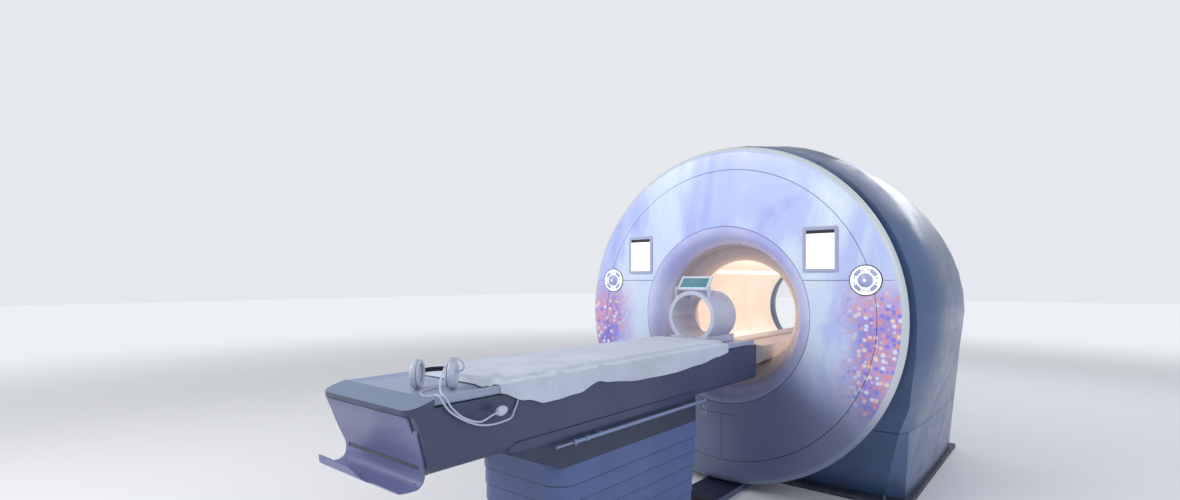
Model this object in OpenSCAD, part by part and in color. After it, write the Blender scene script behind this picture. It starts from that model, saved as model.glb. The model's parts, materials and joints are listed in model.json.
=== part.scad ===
// Cylindrical magnetic resonance scanner with its lifting patient table.
// +X is to the right of someone who faces the bore, +Y runs from the table into the bore,
// and +Z is up. The origin is on the floor under the isocentre. Millimetres.

/* [Gantry] */
// Height of the bore axis over the floor
axis_h = 1090; // [1070:5:1110]
// Radius of the patient bore
bore_r = 350; // [346:1:356]
// Radius of the round front cover
disc_r = 1050; // [1035:1:1056]
// Distance of the front cover's face ahead of the isocentre
front_d = 930; // [920:5:950]
// Distance of the rear cover ahead of the isocentre, on the far side
rear_d = 950; // [930:5:990]
// Radius of the housing at its front edge
shell_front_r = 1070; // [1060:1:1080]
// Radius of the housing at its rear edge
shell_rear_r = 1053; // [1040:1:1060]
// Wall of the housing covers
cover_t = 12; // [8:1:16]
// Width of the seams between covers
seam_w = 3; // [2:0.5:5]
// Angle from vertical at which the top cover meets a side cover
top_half_angle = 32; // [28:1:36]
// Height of the seam between a side cover and a lower cover
lower_seam_z = 450; // [430:5:480]

/* [Front cover] */
// Radius of the seam between the funnel and the front covers
inner_seam_r = 553; // [545:1:565]
// Radius of the seam between the front covers and the rim
outer_seam_r = 905; // [895:1:915]
// Width of the rim's rounded edge
rim_edge_w = 50; // [40:1:60]
// Depth of the front cover, from its face to its rear edge
disc_depth = 60; // [50:1:66]
// Radius of the lip where the funnel turns into the bore
lip_r = 445; // [435:1:455]
// Depth of that lip behind the front face
lip_depth = 170; // [150:5:190]
// Depth behind the front face at which the bore is straight
throat_depth = 330; // [300:5:360]
// Height of the horizontal seam over the bore axis
level_seam_h = 216; // [205:1:230]

/* [Controls] */
// Distance of each dial from the middle
dial_x = 849; // [840:1:855]
// Radius of the lit ring of a dial
dial_r = 79; // [74:0.5:81]
// Height of the lit ring over the front face
dial_proud = 6; // [4:0.5:9]
// Radius of the knob
knob_r = 38; // [34:0.5:40]
// Height of the knob's dome over the ring
knob_h = 22; // [16:1:28]
// Inner radius of the four keys round the knob
key_in_r = 48; // [46:0.5:50]
// Outer radius of those keys
key_out_r = 67; // [62:0.5:70]
// Angle that each key spans
key_angle = 40; // [30:1:50]
// Travel of a key
key_travel = 1.5; // [1:0.1:2]
// Distance of each display from the middle
display_x = 611; // [605:1:618]
// Height of a display's centre over the bore axis
display_h = 390; // [380:1:398]
// Width of a display
display_w = 193; // [185:1:200]
// Height of a display
display_l = 255; // [245:1:265]
// Width of a display's frame round its screen
display_frame = 19; // [15:1:24]

/* [Magnet] */
// Outer radius of the magnet vessel
vessel_r = 900; // [880:5:905]
// Length of the magnet vessel
vessel_l = 1600; // [1560:10:1600]
// Inner radius of the magnet vessel
vessel_bore_r = 470; // [465:1:480]
// Inner radius of the gradient coil
gradient_in_r = 372; // [368:1:380]
// Length of the gradient coil
gradient_l = 1180; // [1100:10:1190]
// Wall of the patient tube
liner_t = 8; // [5:1:10]

/* [Floor] */
// Half of the floor plate's width
plate_half_w = 980; // [970:5:1000]
// Distance of the plate's front edge from the origin
plate_front = 600; // [590:5:640]
// Distance of its rear edge from the origin
plate_rear = 1070; // [1060:5:1100]
// Thickness of the floor plate
plate_t = 30; // [20:1:40]
// Distance of the anchor holes from the middle
anchor_x = 850; // [820:5:870]
// Diameter of an anchor hole
anchor_d = 18; // [14:1:22]
// Distance of the anchor holes from the plate's edge
anchor_edge = 45; // [35:1:48]

/* [Table] */
// Half of the table top's width
board_half_w = 253; // [245:1:255]
// Height of the table top's upper edge over the floor
board_h = 957; // [950:1:960]
// Thickness of the table top's rim
board_rim = 28; // [22:1:30]
// Distance of the table top's foot end from the isocentre
board_foot = 3243; // [3200:1:3260]
// Distance of its head end from the isocentre
board_head = 957; // [955:1:990]
// Height of the table top's keel, from its lower face to the upper edge
keel_h = 57; // [50:1:60]
// Half of the keel's width
keel_half_w = 170; // [150:5:185]
// Half of the trough's width along its length
trough_half_w = 245; // [238:1:248]
// Half of the trough's width at its foot end
foot_half_w = 267; // [262:1:272]
// Distance of the trough's foot end from the isocentre
trough_foot = 3332; // [3315:1:3345]
// Height of the trough's lower face
trough_low = 716; // [705:1:730]
// Wall of the trough
trough_t = 12; // [8:1:16]
// Thickness of the mattress
mattress_t = 26; // [18:1:32]
// Lift travel of the table
lift_travel = 430; // [380:10:440]

/* [Pedestal] */
// Half of the upper skirt's width
skirt_half_w = 250; // [240:1:255]
// Distance of the skirt's foot side from the isocentre
skirt_foot = 2680; // [2640:5:2720]
// Distance of the skirt's gantry side from the isocentre
skirt_head = 1653; // [1600:5:1700]
// Height of the upper skirt's top edge
skirt_top = 604; // [600:1:608]
// Height that each skirt shows
skirt_pitch = 69; // [66:0.5:70]
// Overlap of each skirt on the next
skirt_overlap = 10; // [8:0.5:12]
// Wall of a skirt
skirt_t = 3; // [2.5:0.1:3.2]
// Radius of the skirt's corners on the foot side
skirt_foot_r = 100; // [80:5:120]
// Radius of the skirt's corners on the gantry side
skirt_head_r = 45; // [42:1:60]

/* [Foot tray] */
// Thickness of the tray's sheet
tray_t = 5; // [4:0.5:7]
// Half of the scoop's width
scoop_half_w = 230; // [220:1:235]
// Height of the lip on the scoop
scoop_lip = 35; // [25:1:40]

/* [Drip pole] */
// Radius of the pole's tube
pole_r = 8; // [7:0.5:9]
// Radius of the pole's inner rod
pole_rod_r = 5; // [4:0.5:5.5]
// Distance of the pole from the middle
pole_x = 276; // [272:1:284]
// Height of the pole
pole_z = 700; // [690:1:704]
// Travel of the inner rod
pole_travel = 500; // [400:10:520]

/* [Head coil] */
// Outer radius of the head coil
coil_r = 150; // [146:1:156]
// Wall of the head coil
coil_t = 24; // [20:1:27]
// Length of the head coil
coil_l = 270; // [250:5:285]
// Distance of the coil's foot side from the isocentre
coil_foot = 1300; // [1290:1:1312]
// Width of the mirror's frame
mirror_w = 200; // [180:5:215]
// Height of the mirror's frame
mirror_l = 100; // [90:5:115]

/* [Hidden] */
$fn = 96;

// Clearance between pieces that seat on each other
fit = 0.3;
// Clearance of pieces that slide in each other
slide_fit = 0.5;
// Overrun of a cutting shape past the face that it cuts
cut = 1;

// Places of the front cover's layers along Y
face_y = -front_d;
panel_back_y = face_y + cover_t;
disc_back_y = face_y + disc_depth;
frame_front_y = panel_back_y + fit;
frame_t = 12;
frame_floor_gap = 50;
shell_front_y = -vessel_l / 2 - fit;
frame_r = shell_front_r - 55;

// Control points of the housing under the bore axis, by height over the floor: the front edge,
// the end of the bevel behind it, and the rear edge
front_x_at = [[30, 841], [450, 956], [610, 1021], [780, 1048], [900, 1065], [1090, 1070]];
front_y_at = [[30, -517], [450, -680], [610, -747], [780, -800], [1090, -803]];
bevel_x_at = [[30, 944], [450, 992], [610, 1046], [780, 1095], [900, 1122], [1090, 1140]];
bevel_y_at = [[30, -471], [450, -608], [610, -640], [780, -660], [900, -675], [1090, -680]];
rear_x_at = [[30, 953], [1090, 1053]];
ref_axis_h = 1090;
ref_front_r = 1070;
ref_rear_r = 1053;
// The same bevel over the bore axis, by elevation from the side, in degrees
bevel_r_at = [[0, 1140], [90, 1126]];
bevel_back_at = [[0, -680], [30, -660], [90, -420]];
side_bulge = 45;
top_bulge = 30;
floor_bulge = 10;
belly_steps = 6;
flange_t = 12;
lower_flange_r = 925;
lower_flange_min = 300;

// Table
skirt_count = 8;
skirt_gap = 1.5;
skirt_step = skirt_t + skirt_gap;
// The table follows the bore axis, and each skirt takes its share of the change
table_rise = axis_h - ref_axis_h;
skirt_reach = skirt_pitch + table_rise / skirt_count;
skirt_h = skirt_reach + skirt_overlap;
deck_z = board_h - keel_h - fit;
rim_low = board_h - board_rim;
trough_rim = rim_low - 5;
foot_top = board_h - 2;
bridge_gap = 6;
bridge_half_w = 200;
level_z = axis_h + level_seam_h;
pad_inset = 42;

function lerp(a, b, t) = a + (b - a) * t;
function arc(cx, cy, r, from, to, steps) =
    [for (i = [0:steps]) let (a = lerp(from, to, i / steps)) [cx + r * cos(a), cy + r * sin(a)]];

// A solid through loops of points: each loop has as many points as the next
module loft(loops, start = 0) {
    n = len(loops[0]);
    m = len(loops);
    points = [for (loop = loops) each loop];
    sides = [for (k = [0:m - 2], i = [0:n - 1]) let (j = (i + 1) % n)
        each [[k * n + i, k * n + j, (k + 1) * n + i], [k * n + j, (k + 1) * n + j, (k + 1) * n + i]]];
    // An end is a narrow bent strip, closed rung by rung between its two long edges
    strip = [for (i = [0:n / 2 - 2])
        let (a = (start + i) % n, b = (start + i + 1) % n,
            c = (start + n - 2 - i) % n, d = (start + n - 1 - i) % n)
        each [[a, b, c], [a, c, d]]];
    first = [for (t = strip) [t[2], t[1], t[0]]];
    last = [for (t = strip) [for (p = t) (m - 1) * n + p]];
    polyhedron(points = points, faces = concat(sides, first, last), convexity = 6);
}

// A bent sheet: the outline of a path that is given a thickness on its left
function unit(v) = v / norm(v);
function left_of(v) = [-v[1], v[0]];
function path_normal(path, i) =
    unit(left_of(unit(path[min(i + 1, len(path) - 1)] - path[max(i - 1, 0)])));
function sheet_outline(path, t) = concat(path,
    [for (i = [len(path) - 1:-1:0]) path[i] + t * path_normal(path, i)]);

// A round tube along a route, with a given number of sides
function route_frame(t, up) = let (side = unit(cross(t, up))) [side, cross(side, t)];
module cord_tube(route, r, sides) {
    last = len(route) - 1;
    loops = [for (k = [0:last])
        let (t = unit(route[min(k + 1, last)] - route[max(k - 1, 0)]),
            f = route_frame(t, abs(t[2]) > 0.9 ? [1, 0, 0] : [0, 0, 1]))
        [for (i = [0:sides - 1]) let (a = 360 * i / sides)
            route[k] + r * (cos(a) * f[0] + sin(a) * f[1])]];
    loft(loops);
}
// Points between the chosen points of a route, on a smooth curve
function smooth_at(p, i, t) =
    let (a = p[max(i - 1, 0)], b = p[i], c = p[i + 1], d = p[min(i + 2, len(p) - 1)])
    0.5 * (2 * b + (c - a) * t + (2 * a - 5 * b + 4 * c - d) * t * t
        + (3 * b - a - 3 * c + d) * t * t * t);
function smooth_route(p, steps) =
    concat([for (i = [0:len(p) - 2], k = [0:steps - 1]) smooth_at(p, i, k / steps)], [p[len(p) - 1]]);

module along_y(from, to) {
    translate([0, to, 0]) rotate([90, 0, 0]) linear_extrude(to - from) children();
}
module along_x(half_w) {
    translate([-half_w, 0, 0]) rotate([90, 0, 90]) linear_extrude(2 * half_w) children();
}
// Turns a profile of [radius, distance along +Y] about the bore axis
module about_bore() {
    translate([0, 0, axis_h]) rotate([-90, 0, 0]) rotate_extrude($fn = 180) children();
}
module bore_cylinder(r, from, to) {
    translate([0, from, axis_h]) rotate([-90, 0, 0]) cylinder(r = r, h = to - from, $fn = 180);
}
module at_dial(side) {
    translate([side * dial_x, face_y, level_z]) rotate([90, 0, 0]) children();
}
module on_table() {
    translate([0, 0, table_rise]) children();
}
module mirrored(side) {
    mirror([side < 0 ? 1 : 0, 0, 0]) children();
}
module rounded_rect(w, l, r) {
    square([w - 2 * r, l], center = true);
    square([w, l - 2 * r], center = true);
    for (x = [-1, 1], y = [-1, 1])
        translate([x * (w / 2 - r), y * (l / 2 - r)]) circle(r = r, $fn = 48);
}

// Housing
function belly(bevel, rear, bulge, wall) =
    [for (i = [0:belly_steps]) let (t = i / belly_steps)
        [lerp(bevel[0], rear[0], t) + 4 * bulge * t * (1 - t) - wall, lerp(bevel[1], rear[1], t)]];
function back_to_front(v) = [for (i = [len(v) - 1:-1:0]) v[i]];
function rib_outline(front, bevel, rear, bulge, flange_in) = concat(
    [[flange_in, front[1]], front],
    belly(bevel, rear, bulge, 0),
    back_to_front(belly([bevel[0], bevel[1] + cover_t / 2], rear, bulge, cover_t)),
    [[front[0] - cover_t - 4, front[1] + flange_t], [flange_in, front[1] + flange_t]]);
// A rib at a height under the bore axis, as points in space
function low_rib(z, flange_r, flange_min) =
    let (ref = z + ref_axis_h - axis_h,
        k = (ref_axis_h - ref) / ref_axis_h,
        grow = shell_front_r - ref_front_r,
        front = [lookup(ref, front_x_at) + grow, lookup(ref, front_y_at) + shell_front_y + 800],
        bevel = [lookup(ref, bevel_x_at) + grow, lookup(ref, bevel_y_at)],
        rear = [lookup(ref, rear_x_at) + shell_rear_r - ref_rear_r, rear_d],
        chord = sqrt(max(0, pow(flange_r, 2) - pow(axis_h - z, 2))),
        flange_in = max(flange_min, chord))
    [for (p = rib_outline(front, bevel, rear, lerp(side_bulge, floor_bulge, k), flange_in)) [p[0], p[1], z]];
// A rib at an elevation over the bore axis
function high_rib(a, flange_r) =
    let (grow = shell_front_r - ref_front_r,
        front = [shell_front_r, shell_front_y - 2.7],
        bevel = [lookup(a, bevel_r_at) + grow, lookup(a, bevel_back_at)],
        rear = [shell_rear_r, rear_d])
    [for (p = rib_outline(front, bevel, rear, lerp(side_bulge, top_bulge, a / 90), flange_r))
        [p[0] * cos(a), p[1], axis_h + p[0] * sin(a)]];

high_flange_r = (frame_r + fit) / cos(3.4);
side_top_angle = 90 - top_half_angle;
side_steps = 8;
top_steps = 10;
seam_angle = seam_w / shell_front_r * 90 / PI;
low_heights = [lower_seam_z + seam_w / 2, 530, 610, 700, 780, 850, 900, 1000];

module side_cover(side) {
    color("lightsteelblue") mirrored(side)
        loft(back_to_front(concat(
            [for (z = low_heights) low_rib(z, high_flange_r, 0)],
            [for (i = [0:side_steps])
                high_rib(lerp(0, side_top_angle - seam_angle, i / side_steps), high_flange_r)])));
}
module lower_cover(side) {
    color("lightsteelblue") mirrored(side)
        loft([for (z = [lower_seam_z - seam_w / 2, 370, 260, 140, plate_t + fit])
            low_rib(z, lower_flange_r, lower_flange_min)]);
}
module top_cover() {
    from = side_top_angle + seam_angle;
    color("lightsteelblue")
        loft([for (i = [top_steps:-1:0])
            let (a = lerp(from, 180 - from, i / top_steps), e = min(a, 180 - a))
            [for (p = high_rib(e, high_flange_r)) [a > 90 ? -p[0] : p[0], p[1], p[2]]]]);
}

// The housing's outline at its rear edge, and a like one drawn in by a margin
module rear_outline(margin) {
    translate([0, axis_h]) circle(r = shell_rear_r - margin, $fn = 180);
    rear_low = lookup(30, rear_x_at) + shell_rear_r - ref_rear_r;
    polygon([
        [-rear_low + margin, plate_t + fit], [rear_low - margin, plate_t + fit],
        [shell_rear_r - margin, axis_h], [-shell_rear_r + margin, axis_h]
    ]);
}
rear_funnel_r = 480;
rear_funnel_l = 300;
liner_end = rear_d + cover_t - rear_funnel_l;
module rear_cover() {
    steps = 8;
    // The wall of the flare from the patient tube out to the rear face
    flare = [for (i = [0:steps]) let (a = 90 * i / steps)
        [lerp(bore_r, rear_funnel_r, 1 - cos(a)), liner_end + fit + (rear_funnel_l - fit) * sin(a)]];
    color("lightsteelblue") union() {
        difference() {
            along_y(rear_d + fit, rear_d + cover_t) rear_outline(4);
            bore_cylinder(rear_funnel_r, rear_d - cut, rear_d + cover_t + cut);
        }
        about_bore() polygon(concat(flare,
            [[rear_funnel_r + 10, rear_d + cover_t], [rear_funnel_r + 10, rear_d + fit]],
            [for (i = [steps - 1:-1:0]) flare[i] + [8, 0]]));
    }
}

// Front cover
module dial_holes(r) {
    for (side = [-1, 1]) at_dial(side) translate([0, 0, -disc_depth]) cylinder(r = r, h = 2 * disc_depth);
}
module level_groove(from, to) {
    for (side = [-1, 1])
        translate([side > 0 ? from : -to, face_y - cut, level_z - seam_w / 2])
            cube([to - from, cut + 5, seam_w]);
}
module front_rim() {
    back_r = disc_r - 12;
    edge = [for (i = [0:8]) let (a = 90 * i / 8)
        [disc_r - rim_edge_w * (1 - sin(a)), face_y + rim_edge_w * (1 - cos(a))]];
    inner = [for (i = [8:-1:0]) let (a = 90 * i / 8)
        [disc_r - cover_t - (rim_edge_w - 4) * (1 - sin(a)),
            face_y + cover_t + (rim_edge_w - 8) * (1 - cos(a))]];
    color("lavender") difference() {
        about_bore() polygon(concat(
            [[outer_seam_r + seam_w / 2, face_y]], edge,
            [[disc_r - 4, disc_back_y], [disc_r - cover_t, disc_back_y]],
            inner, [[outer_seam_r + seam_w / 2, panel_back_y]]));
        dial_holes(dial_r + seam_w);
        level_groove(outer_seam_r, disc_r);
    }
}
module front_panel() {
    difference() {
        bore_cylinder(outer_seam_r - seam_w / 2, face_y, panel_back_y);
        bore_cylinder(inner_seam_r + seam_w / 2, face_y - cut, panel_back_y + cut);
        dial_holes(dial_r + seam_w);
        for (side = [-1, 1])
            translate([side * display_x, panel_back_y + cut, axis_h + display_h]) rotate([90, 0, 0])
                linear_extrude(cover_t + 2 * cut)
                    rounded_rect(display_w + 2 * fit, display_l + 2 * fit, 12 + fit);
    }
}
module front_cover_upper() {
    color("lavender") intersection() {
        front_panel();
        translate([-disc_r, face_y - cut, level_z + seam_w / 2])
            cube([2 * disc_r, cover_t + 2 * cut, disc_r]);
    }
}
service_seam_z = 475;
service_seam_w = 260;
module front_cover_lower() {
    groove_d = 5;
    color("lavender") difference() {
        intersection() {
            front_panel();
            translate([-disc_r, face_y - cut, 0])
                cube([2 * disc_r, cover_t + 2 * cut, level_z - seam_w / 2]);
        }
        translate([-seam_w / 2, face_y - cut, 0]) cube([seam_w, groove_d + cut, service_seam_z]);
        translate([-service_seam_w / 2, face_y - cut, service_seam_z - seam_w])
            cube([service_seam_w, groove_d + cut, seam_w]);
    }
}
// The funnel's face runs from the seam in to the lip and then back to the patient tube
function funnel_face() = concat(
    [for (i = [0:10]) let (a = 90 * i / 10)
        [lerp(inner_seam_r - seam_w / 2, lip_r, sin(a)), face_y + lip_depth * (1 - cos(a))]],
    [for (i = [1:8]) let (t = i / 8)
        [lerp(lip_r, bore_r, (1 - cos(180 * t)) / 2), face_y + lerp(lip_depth, throat_depth, t)]]);
module front_funnel() {
    face = funnel_face();
    wall = 8;
    seat_r = inner_seam_r - seam_w / 2;
    color("white") about_bore() polygon(concat(face,
        [[bore_r + wall, face[len(face) - 1][1]], [lip_r + wall, face_y + lip_depth + 4],
        [lip_r + wall + 2, face_y + lip_depth * 0.7], [lip_r + 34, face_y + lip_depth * 0.42],
        [seat_r - 4, frame_front_y + frame_t], [seat_r, frame_front_y + frame_t]]));
}
module front_frame() {
    back_y = -vessel_l / 2 - fit;
    wall_in_r = frame_r - 25;
    step_y = face_y + rim_edge_w;
    color("dimgray") difference() {
        about_bore() polygon([
            [inner_seam_r + seam_w / 2, frame_front_y], [wall_in_r, frame_front_y],
            [wall_in_r, step_y - 6], [frame_r, step_y], [frame_r, back_y], [vessel_r - 30, back_y],
                [vessel_r - 30, back_y - frame_t],
            [wall_in_r - frame_t, back_y - frame_t], [wall_in_r - frame_t, frame_front_y + frame_t],
            [inner_seam_r + seam_w / 2, frame_front_y + frame_t]
        ]);
        translate([-disc_r, face_y, -disc_r])
            cube([2 * disc_r, disc_depth * 3, disc_r + plate_t + frame_floor_gap]);
    }
}

// Controls
ring_seat = frame_front_y - face_y;
module dial_ring(side) {
    color("white") at_dial(side) difference() {
        union() {
            translate([0, 0, -ring_seat + fit]) cylinder(r = dial_r, h = ring_seat - fit + dial_proud - 2);
            translate([0, 0, dial_proud - 2]) cylinder(r1 = dial_r, r2 = dial_r - 2, h = 2);
        }
        translate([0, 0, -ring_seat - cut]) cylinder(r = 12 + fit, h = 2 * ring_seat + dial_proud);
        translate([0, 0, dial_proud - 3]) cylinder(r = knob_r + 2, h = 4);
        for (q = [0:3]) key_space(q, slide_fit, -5, dial_proud + cut);
        for (q = [0:3], s = [-1, 1]) rotate([0, 0, 90 * q + s * 9])
            translate([(key_in_r + key_out_r) / 2, 0, dial_proud - 1]) cylinder(r = 3, h = 2, $fn = 24);
    }
}
module knob(side) {
    dome_z = dial_proud - 2;
    color("gainsboro") at_dial(side) rotate_extrude() polygon(concat(
        [[0, -ring_seat + fit], [12, -ring_seat + fit], [12, dome_z], [knob_r, dome_z],
        [knob_r, dome_z + 6]],
        [for (i = [1:8]) let (a = 90 * i / 8) [knob_r * cos(a), dome_z + 6 + (knob_h - 6) * sin(a)]]));
}
module key_space(q, gap, from, to) {
    half = key_angle / 2;
    reach = 2 * key_out_r;
    pad = gap / key_in_r * 180 / PI;
    rotate([0, 0, 45 + 90 * q]) translate([0, 0, from]) intersection() {
        difference() {
            cylinder(r = key_out_r + gap, h = to - from);
            translate([0, 0, -cut]) cylinder(r = key_in_r - gap, h = to - from + 2 * cut);
        }
        linear_extrude(to - from)
            polygon([[0, 0], [reach * cos(half + pad), -reach * sin(half + pad)],
                [reach * cos(half + pad), reach * sin(half + pad)]]);
    }
}
module key(side, q) {
    color("whitesmoke") at_dial(side) key_space(q, 0, -5 + key_travel + 0.5, dial_proud + 1);
}
module display(side) {
    front = 6;
    color("silver") translate([side * display_x, frame_front_y - fit, axis_h + display_h])
        rotate([90, 0, 0]) difference() {
            linear_extrude(ring_seat - fit + front) rounded_rect(display_w, display_l, 12);
            translate([0, 0, ring_seat + front - 5]) linear_extrude(10)
                square([display_w - 2 * display_frame, display_l - 2 * display_frame], center = true);
        }
}
module screen(side) {
    front = 6;
    inner = 2 * (display_frame + fit);
    color("white") translate([side * display_x, frame_front_y - fit, axis_h + display_h])
        rotate([90, 0, 0]) translate([0, 0, ring_seat + front - 5 + fit]) linear_extrude(3.5)
            square([display_w - inner, display_l - inner], center = true);
}

// Magnet
module magnet_vessel() {
    edge = 60;
    half = vessel_l / 2;
    turret_h = 110;
    color("silver") union() {
        about_bore() polygon(concat(
            [[vessel_bore_r, -half]], arc(vessel_r - edge, -half + edge, edge, -90, 0, 6),
            arc(vessel_r - edge, half - edge, edge, 0, 90, 6), [[vessel_bore_r, half]]));
        // Cold head turret over the vessel
        translate([0, 150, axis_h + vessel_r - 20]) cylinder(r = 130, h = turret_h + 20);
        translate([0, 150, axis_h + vessel_r + turret_h]) cylinder(r = 160, h = 14);
        // Saddle feet down to the floor plate
        for (y = [-430, 390]) along_y(y, y + 120) difference() {
            polygon([[-620, plate_t + fit], [620, plate_t + fit], [700, axis_h - 500],
                [-700, axis_h - 500]]);
            translate([0, axis_h]) circle(r = vessel_r - 5, $fn = 180);
        }
    }
}
module gradient_coil() {
    wedge_w = 60;
    color("peru") union() {
        about_bore() polygon([
            [gradient_in_r, -gradient_l / 2], [vessel_bore_r - 6, -gradient_l / 2],
            [vessel_bore_r - 6, gradient_l / 2], [gradient_in_r, gradient_l / 2]]);
        intersection() {
            about_bore() polygon([
                [vessel_bore_r - 10, -gradient_l / 2], [vessel_bore_r - fit, -gradient_l / 2],
                [vessel_bore_r - fit, gradient_l / 2], [vessel_bore_r - 10, gradient_l / 2]]);
            translate([0, 0, axis_h]) for (a = [0:60:120]) rotate([0, a, 0])
                cube([wedge_w, gradient_l, 2 * vessel_r], center = true);
        }
    }
}
light_r = 6;
module light_strip_space(gap, from, to) {
    translate([0, 0, axis_h]) for (a = [-38, 38]) rotate([0, a, 0])
        translate([0, 0, bore_r]) along_y(from, to)
            square([24 + 2 * gap, 2 * (light_r - 3 + gap)], center = true);
}
module bore_liner() {
    from = face_y + throat_depth + fit;
    color("oldlace") union() {
        difference() {
            bore_cylinder(bore_r + liner_t, from, liner_end);
            bore_cylinder(bore_r, from - cut, liner_end + cut);
            light_strip_space(fit, from + 40, liner_end - 40);
        }
        // Rings that hold the tube in the gradient coil
        for (y = [from + 60, liner_end - 80]) difference() {
            bore_cylinder(gradient_in_r - fit, y, y + 20);
            bore_cylinder(bore_r + liner_t / 2, y - cut, y + 20 + cut);
        }
    }
}
module bore_lights() {
    from = face_y + throat_depth + fit;
    color("white") light_strip_space(0, from + 40 + fit, liner_end - 40 - fit);
}
module bore_bridge() {
    top = deck_z + table_rise + fit - bridge_gap;
    color("gainsboro") difference() {
        intersection() {
            bore_cylinder(bore_r - fit, face_y + lip_depth + 6, rear_d);
            translate([-bridge_half_w, face_y, 0]) cube([2 * bridge_half_w, front_d + rear_d + cut, top]);
        }
        // Guide channel for the keel
        translate([-60, face_y, top - 14]) cube([120, front_d + rear_d + cut, 20]);
    }
}

// Floor
module floor_plate() {
    color("dimgray") difference() {
        translate([-plate_half_w, -plate_front, 0])
            cube([2 * plate_half_w, plate_front + plate_rear, plate_t]);
        for (x = [-1, 1], y = [-plate_front + anchor_edge, plate_rear - anchor_edge])
            translate([x * anchor_x, y, -cut]) cylinder(d = anchor_d, h = plate_t + 2 * cut);
    }
}

// Pedestal
// One skirt: the tubes are numbered from the top, and each one fits in the one over it
function skirt_inset(i) = (i - 1) * skirt_step;
module skirt_shape(inset) {
    w = skirt_half_w - inset;
    foot = -skirt_foot + inset;
    head = -skirt_head - inset;
    rf = skirt_foot_r - inset;
    rh = skirt_head_r - inset;
    translate([-w, foot + rf]) square([2 * w, head - rh - foot - rf]);
    translate([-w + rf, foot]) square([2 * (w - rf), 2 * rf]);
    translate([-w + rh, head - 2 * rh]) square([2 * (w - rh), 2 * rh]);
    for (x = [-1, 1]) {
        translate([x * (w - rf), foot + rf]) circle(r = rf, $fn = 64);
        translate([x * (w - rh), head - rh]) circle(r = rh, $fn = 64);
    }
}
module skirt_wall(i, bead) {
    top = skirt_top + table_rise - (i - 1) * skirt_reach;
    low = top - skirt_h;
    inset = skirt_inset(i);
    translate([0, 0, low]) difference() {
        linear_extrude(skirt_h - fit) skirt_shape(inset);
        translate([0, 0, bead ? 5 : -cut]) linear_extrude(skirt_h + cut) skirt_shape(inset + skirt_t);
        if (bead) translate([0, 0, -cut]) linear_extrude(skirt_h) skirt_shape(inset + skirt_step - fit);
    }
}
module skirt(i) {
    color("cornflowerblue") skirt_wall(i, true);
}
base_top = skirt_top + table_rise - skirt_count * skirt_reach;
duct_half_w = 120;
duct_h = 38;
module table_base() {
    step_inset = skirt_inset(skirt_count);
    color("lightsteelblue") union() {
        skirt_wall(skirt_count, false);
        // Floor pan under the skirts
        linear_extrude(base_top - skirt_overlap + 2) skirt_shape(step_inset - 10);
        // Cable duct to the floor plate
        translate([-duct_half_w, -skirt_head - 120, 0])
            cube([2 * duct_half_w, skirt_head + 120 - plate_front - fit, duct_h]);
    }
}
module docking_step() {
    gap = 60;
    from = -skirt_head + gap;
    color("black") difference() {
        union() {
            translate([-200, from, duct_h + fit]) cube([400, 190, 70]);
            translate([-200, from, 0]) cube([200 - duct_half_w - fit, 190, duct_h + 10]);
            translate([duct_half_w + fit, from, 0]) cube([200 - duct_half_w - fit, 190, duct_h + 10]);
            translate([duct_half_w + fit, from + 150, 0]) cube([150, 160, 52]);
        }
        translate([-160, from - cut, duct_h + 50]) cube([320, 90, 80]);
    }
}
// Lift: a fixed column, a sliding stage in it and the table's own mast in the stage
lift_y = -2166;
column_w = [220, 260];
lift_wall = 8;
stage_w = [for (s = column_w) s - 2 * (lift_wall + slide_fit)];
mast_w = [for (s = stage_w) s - 2 * (lift_wall + slide_fit)];
module square_tube(size, from, to) {
    translate([0, lift_y, from]) difference() {
        linear_extrude(to - from) square(size, center = true);
        translate([0, 0, -cut]) linear_extrude(to - from + 2 * cut)
            square([size[0] - 2 * lift_wall, size[1] - 2 * lift_wall], center = true);
    }
}
deck_t = 12;
lift_overlap = 50;
column_top = deck_z - deck_t - lift_travel - 25;
stage_low = column_top - lift_overlap;
stage_top = deck_z - deck_t - lift_travel / 2 - 20;
mast_low = stage_top - lift_overlap - 10;
module lift_column() {
    floor_z = base_top - skirt_overlap + 2 + fit;
    color("slategray") union() {
        square_tube(column_w, floor_z, column_top + table_rise);
        translate([0, lift_y, floor_z]) linear_extrude(10)
            square([column_w[0] + 80, column_w[1] + 80], center = true);
    }
}
module lift_stage() {
    color("silver") square_tube(stage_w, stage_low, stage_top);
}
module lift_mast() {
    color("slategray") square_tube(mast_w, mast_low, deck_z - deck_t - fit);
}

// Table
hood_foot = skirt_foot + 250;
module table_hood() {
    low = skirt_top + fit;
    high = trough_low - fit;
    color("slategray") difference() {
        union() {
            intersection() {
                along_x(skirt_half_w) polygon([
                    [-skirt_foot, low], [-skirt_head, low], [-skirt_head, high], [-hood_foot, high]]);
                translate([0, 0, low]) linear_extrude(high - low) union() {
                    skirt_shape(0);
                    translate([-skirt_half_w + 30, -hood_foot]) square([2 * skirt_half_w - 60, 500]);
                    translate([-skirt_half_w, -hood_foot + 30]) square([2 * skirt_half_w, 400]);
                    for (x = [-1, 1]) translate([x * (skirt_half_w - 30), -hood_foot + 30]) circle(r = 30);
                }
            }
        }
        translate([0, 0, low - cut]) linear_extrude(high) skirt_shape(14);
    }
}
module trough_section() {
    half = [[270, 980], [270, 860], [262, 800], [252, 755], [236, 728], [210, trough_low]];
    polygon(concat(half, [for (i = [len(half) - 1:-1:0]) [-half[i][0], half[i][1]]]));
}
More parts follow.
